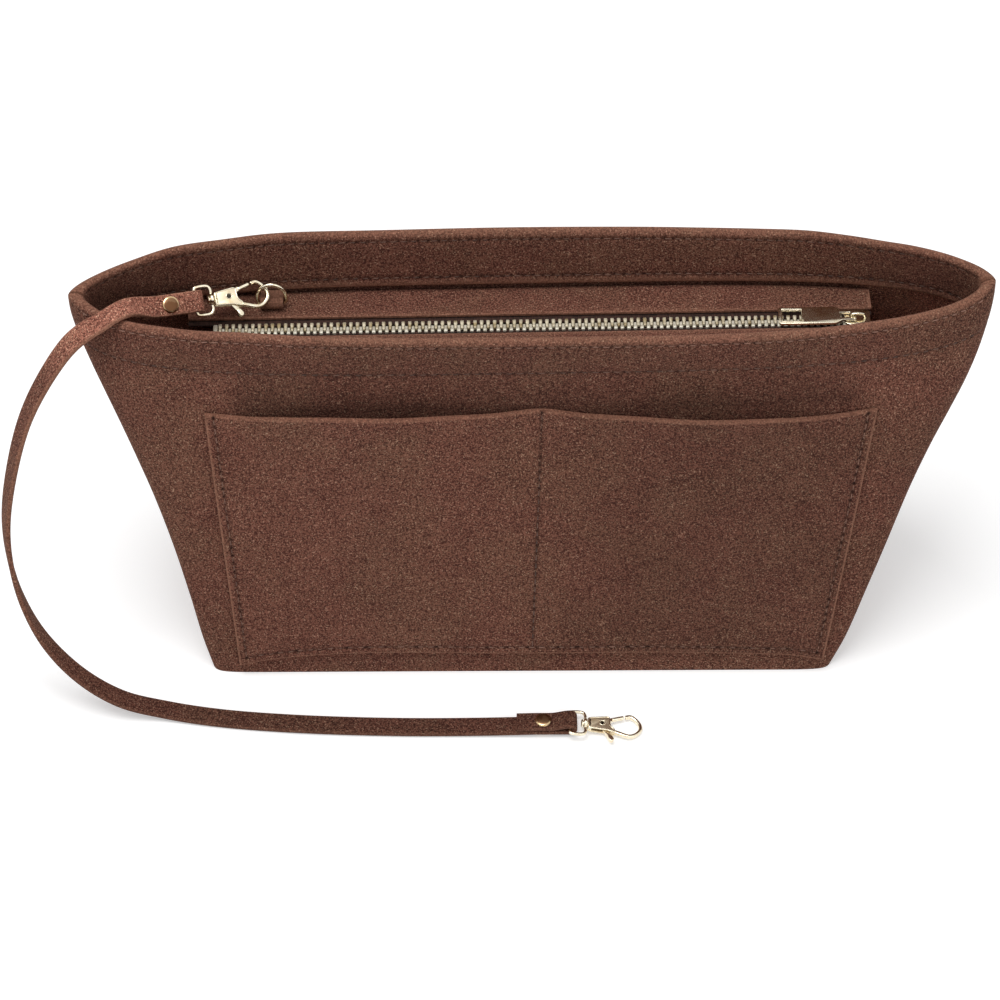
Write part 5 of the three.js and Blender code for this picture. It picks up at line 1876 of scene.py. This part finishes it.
@dataclass
class KeyStrap:
    """The felt strap: one ribbon folded round both eyes, with a domed rivet at each fold.

    The route holds the centre line's points between the folds, each with its direction across.
    """

    clasps: dict[End, SwivelClasp]
    width: float = 9
    felt: float = 2.2
    gap: float = 0.3
    flap: float = 23
    rivet: float = 11.6
    head: float = 7
    dome: float = 1.0
    rivet_sides: int = 56
    # Heights where the strap's painted light, painted shade and painted edge highlight begin.
    lit_above: float = 150
    shaded_below: float = 60
    edge_highlight_above: float = 70
    steps: int = 8
    route: tuple[tuple[float, ...], ...] = (
        (-152.2, -3.2, 173.5, -0.22, 0.77, 0.6),
        (-156.8, -7.3, 177.7, -0.38, 0.8, 0.4),
        (-161.3, -11.8, 181.3, -0.5, 0.83, 0.12),
        (-166, -15.7, 181.9, -0.56, 0.82, 0),
        (-171, -19, 180.4, -0.58, 0.81, 0),
        (-177.3, -21, 177.4, -0.55, 0.82, 0.12),
        (-184.6, -22.6, 171, -0.48, 0.86, 0.2),
        (-196, -26, 154.5, -0.45, 0.89, 0.1),
        (-205.7, -31, 136, -0.42, 0.9, 0),
        (-213.2, -38, 113.2, -0.38, 0.92, 0),
        (-217.9, -45, 89.6, -0.33, 0.94, 0),
        (-218, -51, 70.8, -0.28, 0.96, 0),
        (-214.6, -57, 51.4, -0.22, 0.97, 0),
        (-206.3, -64, 32.9, -0.15, 0.99, 0),
        (-192, -72, 18.6, -0.08, 1, 0),
        (-174.9, -77.5, 9, 0, 1, 0),
        (-156.2, -79, 3, 0, 1, 0),
        (-131.9, -82.6, 1.4, 0, 1, 0),
        (-96.8, -86.1, 1.4, 0, 1, 0),
        (-53.3, -88, 1.4, 0, 1, 0),
        (-18.5, -88.3, 1.7, 0, 1, 0),
    )

    def __post_init__(self) -> None:
        """Works out the ribbon's centre line and its two directions at every station."""
        near, far = self.clasps[End.NEAR], self.clasps[End.FAR]
        self.fold = near.eye_wire / 2 + self.gap + self.felt / 2
        self.step = self.felt + self.gap
        ends = {
            End.NEAR: (near.bar, -near.along, near.across, near.up),
            End.FAR: (far.bar, np.array([-1.0, 0, 0]), far.across, np.array([0, 0, -1.0])),
        }
        runs = np.array([0, 4, 8, self.rivet, self.rivet + 3])[:, None]
        spots = {end: bar + out * self.fold + away * runs for end, (bar, away, _, out) in ends.items()}
        route = np.array(self.route)
        points = np.vstack([spots[End.NEAR], route[:, :3], spots[End.FAR][::-1]])
        at_near, at_far = (np.repeat(clasp.across[None], len(runs), 0) for clasp in (near, far))
        sides = np.vstack([at_near, unit(route[:, 3:]), at_far])
        centre = spline(points, self.steps)
        across = _at(sides, np.arange(len(sides)), np.arange(len(centre)) / self.steps)
        ahead = unit(np.gradient(centre, axis=0))
        across = unit(across - np.sum(across * ahead, axis=1, keepdims=True) * ahead)
        self.main = (centre, across, np.cross(across, ahead))
        self.run = lengths(centre)
        flaps = {end: self.doubled(end) for end in End}
        wraps = {end: self.wrapped(*ends[end]) for end in End}
        lead = [tuple(part[::-1] for part in piece) for piece in (flaps[End.NEAR], wraps[End.NEAR])]
        order = lead + [self.main, wraps[End.FAR], flaps[End.FAR]]
        self.centre, self.across, self.outward = (np.vstack(parts) for parts in zip(*order))

    def at(self, end: End, runs: Array) -> tuple[Array, Array, Array]:
        """Centre, across and outward on the main layer, at runs in from one of the bars.

        Args:
            end: the end whose bar it is.
            runs: lengths along the strap from that bar.

        Returns:
            The points and both directions at each run.
        """
        places = runs if end is End.NEAR else self.run[-1] - runs
        centre, across, outward = (_at(part, self.run, places) for part in self.main)
        return centre, unit(across), unit(outward)

    def doubled(self, end: End) -> tuple[Array, Array, Array]:
        """The flap under the main layer: it closes from the fold's width to one layer, then follows it.

        Args:
            end: the strap's end.

        Returns:
            Its points, and its directions across and outward.
        """
        runs = np.linspace(self.flap / 18, self.flap, 18)
        centre, across, outward = self.at(end, runs)
        apart = 2 * self.fold + (self.step - 2 * self.fold) * smooth(runs / (self.rivet - 3))
        return centre - outward * apart[:, None], across, -outward

    def wrapped(self, bar: Array, away: Array, across: Array, outward: Array) -> tuple[Array, Array, Array]:
        """The fold round a bar: half a circle from the main layer to the flap.

        Args:
            bar: the bar's middle.
            away: the direction from the bar along the strap.
            across: the direction across the strap.
            outward: the main layer's outward direction.

        Returns:
            Its points, and its directions across and outward.
        """
        count = 16
        turn = (np.pi * (np.arange(count) + 0.5) / count)[:, None]
        facing = outward * np.cos(turn) - away * np.sin(turn)
        return bar + facing * self.fold, np.repeat(across[None], count, 0), facing

    def ribbon(self) -> Shape:
        """The ribbon: a rounded rectangle carried along the centre line.

        Its edges are painted paler high up and its felt lighter by the rim, both painted light, and its felt
        is darker near the table, painted shade.

        Returns:
            The ribbon's shape, with its edge and tone marks.
        """
        turn = 2 * np.pi * (np.arange(28) + 0.5) / 28
        cosine, sine = np.cos(turn), np.sin(turn)
        flat = np.sign(cosine) * np.abs(cosine) ** 0.22 * self.width / 2
        tall = np.sign(sine) * np.abs(sine) ** 0.4 * self.felt / 2
        rings = self.centre[:, None] + flat[None, :, None] * self.across[:, None]
        rings = rings + tall[None, :, None] * self.outward[:, None]
        shape = loft(rings)
        mark = smooth((np.abs(flat) - self.width / 2 + 0.9) / 0.8)
        height = self.centre[:, 2]
        # Painted light high up by the rim, painted shade near the table, and a painted highlight on the upper
        # edges.
        tone = smooth((height - self.lit_above) / 25) - 0.36 * smooth((self.shaded_below - height) / 55)
        edge_highlight = 0.25 + 0.75 * smooth((height - self.edge_highlight_above) / 70)
        edges = (edge_highlight[:, None] * mark[None]).ravel()
        shape.marks = {"edge": edges, "tone": np.repeat(tone, len(flat))}
        return shape

    def rivet_matrix(self, end: End) -> Array:
        """The frame of a rivet, at the middle of the two layers with Z outwards.

        Args:
            end: the strap's end.

        Returns:
            A 4 by 4 matrix.
        """
        centre, across, outward = (part[0] for part in self.at(end, np.array([self.rivet])))
        matrix = np.eye(4)
        matrix[:3, :3] = np.c_[np.cross(across, outward), across, outward]
        matrix[:3, 3] = centre - outward * self.step / 2
        return matrix

    def rivet_profiles(self) -> tuple[Array, Array]:
        """Profiles of a rivet's cap with its post, and of its back: shallow domes with a rolled rim.

        Returns:
            Radius and height of the cap's points, and of the back's.
        """
        seat = self.step / 2 + self.felt / 2 + 0.08
        radius = self.head / 2
        foot, rise = seat + 0.42, self.dome - 0.25
        dome = [[radius - 0.15, seat], [radius, seat + 0.12]]
        dome += [[radius, seat + 0.3], [radius - 0.15, seat + 0.45]]
        angles = np.radians([20, 35, 50, 65, 80])
        dome += [[radius * np.cos(a) ** 0.6, foot + rise * np.sin(a)] for a in angles]
        dome += [[0, foot + rise]]
        cap = np.array([[0, -seat + 0.3], [1.4, -seat + 0.3], [1.4, seat]] + dome)
        back = np.array([[0, seat]] + dome) * [1, -1]
        return cap, back

    def build(self) -> None:
        strap = make_piece("felt_strap", self.ribbon(), "pouch", Finish.FELT, ("key_strap",))
        pieces = []
        for end, clasp in self.clasps.items():
            cap, back = self.rivet_profiles()
            matrix = self.rivet_matrix(end)
            for part, profile in (("cap", cap), ("back", back)):
                shape = turned(profile, self.rivet_sides).moved(matrix)
                # The dome's middle is marked satin, which paints it dark: a painted reflection of the felt,
                # with the bright rim left.
                inside = smooth((0.88 - profile[:, 0] / (self.head / 2)) / 0.12)
                shape.marks = {"satin": np.repeat(inside, self.rivet_sides)}
                name, node = f"{end.value}_rivet_dome_{part}", f"{end.value}_rivet_{part}"
                pieces.append(make_piece(name, shape, "pouch", Finish.ANTIQUE, (node,)))
            pieces += clasp.build()


@dataclass
class Studio:
    """Floor, soft lights and the photograph's camera, in metres."""

    place: Point = (-0.009997, -0.86987, 1.01687)
    right: Point = (0.99998847, -0.00387272, -0.00284)
    up: Point = (0.00477832, 0.74313489, 0.66912458)
    forward: Point = (0.00048083, 0.66913043, -0.74314483)
    lens: float = 105.85
    sensor: float = 36
    aim: Point = (0, 0, 0.09)
    floor_size: float = 6.0
    floor_glow: float = 0.34
    room_light: float = 0.5

    def camera(self) -> None:
        """The camera, as fitted to the photograph."""
        data = bpy.data.cameras.new("camera")
        data.lens, data.sensor_width = self.lens, self.sensor
        data.clip_start, data.clip_end = 0.05, 20
        camera = bpy.data.objects.new("camera", data)
        columns = np.c_[self.right, self.up, -np.array(self.forward)]
        matrix = np.eye(4)
        matrix[:3, :3], matrix[:3, 3] = columns, self.place
        camera.matrix_world = Matrix(matrix.tolist())
        bpy.context.scene.collection.objects.link(camera)
        bpy.context.scene.camera = camera

    def lamp(self, name: str, place: Point, size: float, power: float) -> None:
        """A square soft box that faces the pouch's middle.

        Args:
            name: the lamp's name.
            place: where it hangs, in metres.
            size: its edge in metres.
            power: its power in watts.
        """
        data = bpy.data.lights.new(name, "AREA")
        data.size, data.energy = size, power
        lamp = bpy.data.objects.new(name, data)
        away = unit(np.array(place) - np.array(self.aim))
        side = unit(np.cross([0, 0, 1.0], away))
        matrix = np.eye(4)
        matrix[:3, :3], matrix[:3, 3] = np.c_[side, np.cross(away, side), away], place
        lamp.matrix_world = Matrix(matrix.tolist())
        bpy.context.scene.collection.objects.link(lamp)

    def room(self) -> None:
        """A plain room: white where the camera or metal looks, softer as a light."""
        world = bpy.data.worlds.new("room")
        world.use_nodes = True
        tree = world.node_tree
        ray = tree.nodes.new("ShaderNodeLightPath")
        seen = tree.nodes.new("ShaderNodeMath")
        seen.operation, seen.use_clamp = "ADD", True
        white = tree.nodes.new("ShaderNodeMath")
        white.operation, white.use_clamp = "ADD", True
        tree.links.new(ray.outputs["Is Camera Ray"], seen.inputs[0])
        tree.links.new(ray.outputs["Is Glossy Ray"], seen.inputs[1])
        tree.links.new(seen.outputs[0], white.inputs[0])
        tree.links.new(ray.outputs["Is Transmission Ray"], white.inputs[1])
        level = tree.nodes.new("ShaderNodeMapRange")
        level.inputs["To Min"].default_value = self.room_light
        level.inputs["To Max"].default_value = 1.0
        tree.links.new(white.outputs[0], level.inputs["Value"])
        background = tree.nodes["Background"]
        background.inputs["Color"].default_value = (1, 1, 1, 1)
        tree.links.new(level.outputs["Result"], background.inputs["Strength"])
        bpy.context.scene.world = world

    def floor(self) -> None:
        """A pale floor that the camera sees nearly white, with the pouch's soft shadow."""
        mesh = bpy.data.meshes.new("floor")
        size, z = self.floor_size, -0.0001
        corners = [(-size, -size, z), (size, -size, z), (size, size, z), (-size, size, z)]
        mesh.from_pydata(corners, [], [(0, 1, 2, 3)])
        floor = bpy.data.objects.new("floor", mesh)
        bpy.context.scene.collection.objects.link(floor)
        nodes = Nodes("floor paper")
        nodes.constant(Roughness=0.9, Specular_IOR_Level=0.1, Base_Color=(0.86, 0.86, 0.86, 1))
        path = nodes.tree.nodes.new("ShaderNodeLightPath")
        seen = nodes.maths("ADD", path.outputs["Is Camera Ray"], path.outputs["Is Glossy Ray"], clamp=True)
        nodes.constant(Emission_Color=(1, 1, 1, 1))
        nodes.link(nodes.maths("MULTIPLY", seen, self.floor_glow), nodes.shader.inputs["Emission Strength"])
        mesh.materials.append(nodes.material)

    def build(self) -> None:
        """Sets up camera, room, floor and lamps."""
        self.camera()
        self.room()
        self.floor()
        self.lamp("soft key", (-0.3, -0.25, 1.9), 1.1, 20)
        self.lamp("soft fill", (0.9, -1.4, 1.1), 1.2, 3)
        view = bpy.context.scene.view_settings
        view.view_transform = "Standard"


def main() -> None:
    """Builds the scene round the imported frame."""
    logging.basicConfig(level=logging.INFO, format="%(name)s: %(message)s")
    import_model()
    Studio().build()
    shape = PouchShape()
    near = SwivelClasp(
        End.NEAR,
        pivot=(-121.8, 10.4, 166.1),
        to_tip=(0.93, 0.34, -0.14),
        to_gate=(-0.149, 0.739, 0.665),
        swivel=-10,
    )
    far = SwivelClasp(
        End.FAR,
        pivot=(34.4, -88.5, 3.15),
        to_tip=(0.9939, 0, -0.1108),
        to_gate=(0, 1, 0),
        swivel=0,
    )
    KeyStrap({End.NEAR: near, End.FAR: far}).build()
    FeltBody(shape).build()
    for side in Side:
        SlipPocket(shape, side).build()
    lid = ZipLid(shape)
    lid.build()
    RingTab(lid).build()


if __name__ == "__main__":
    main()
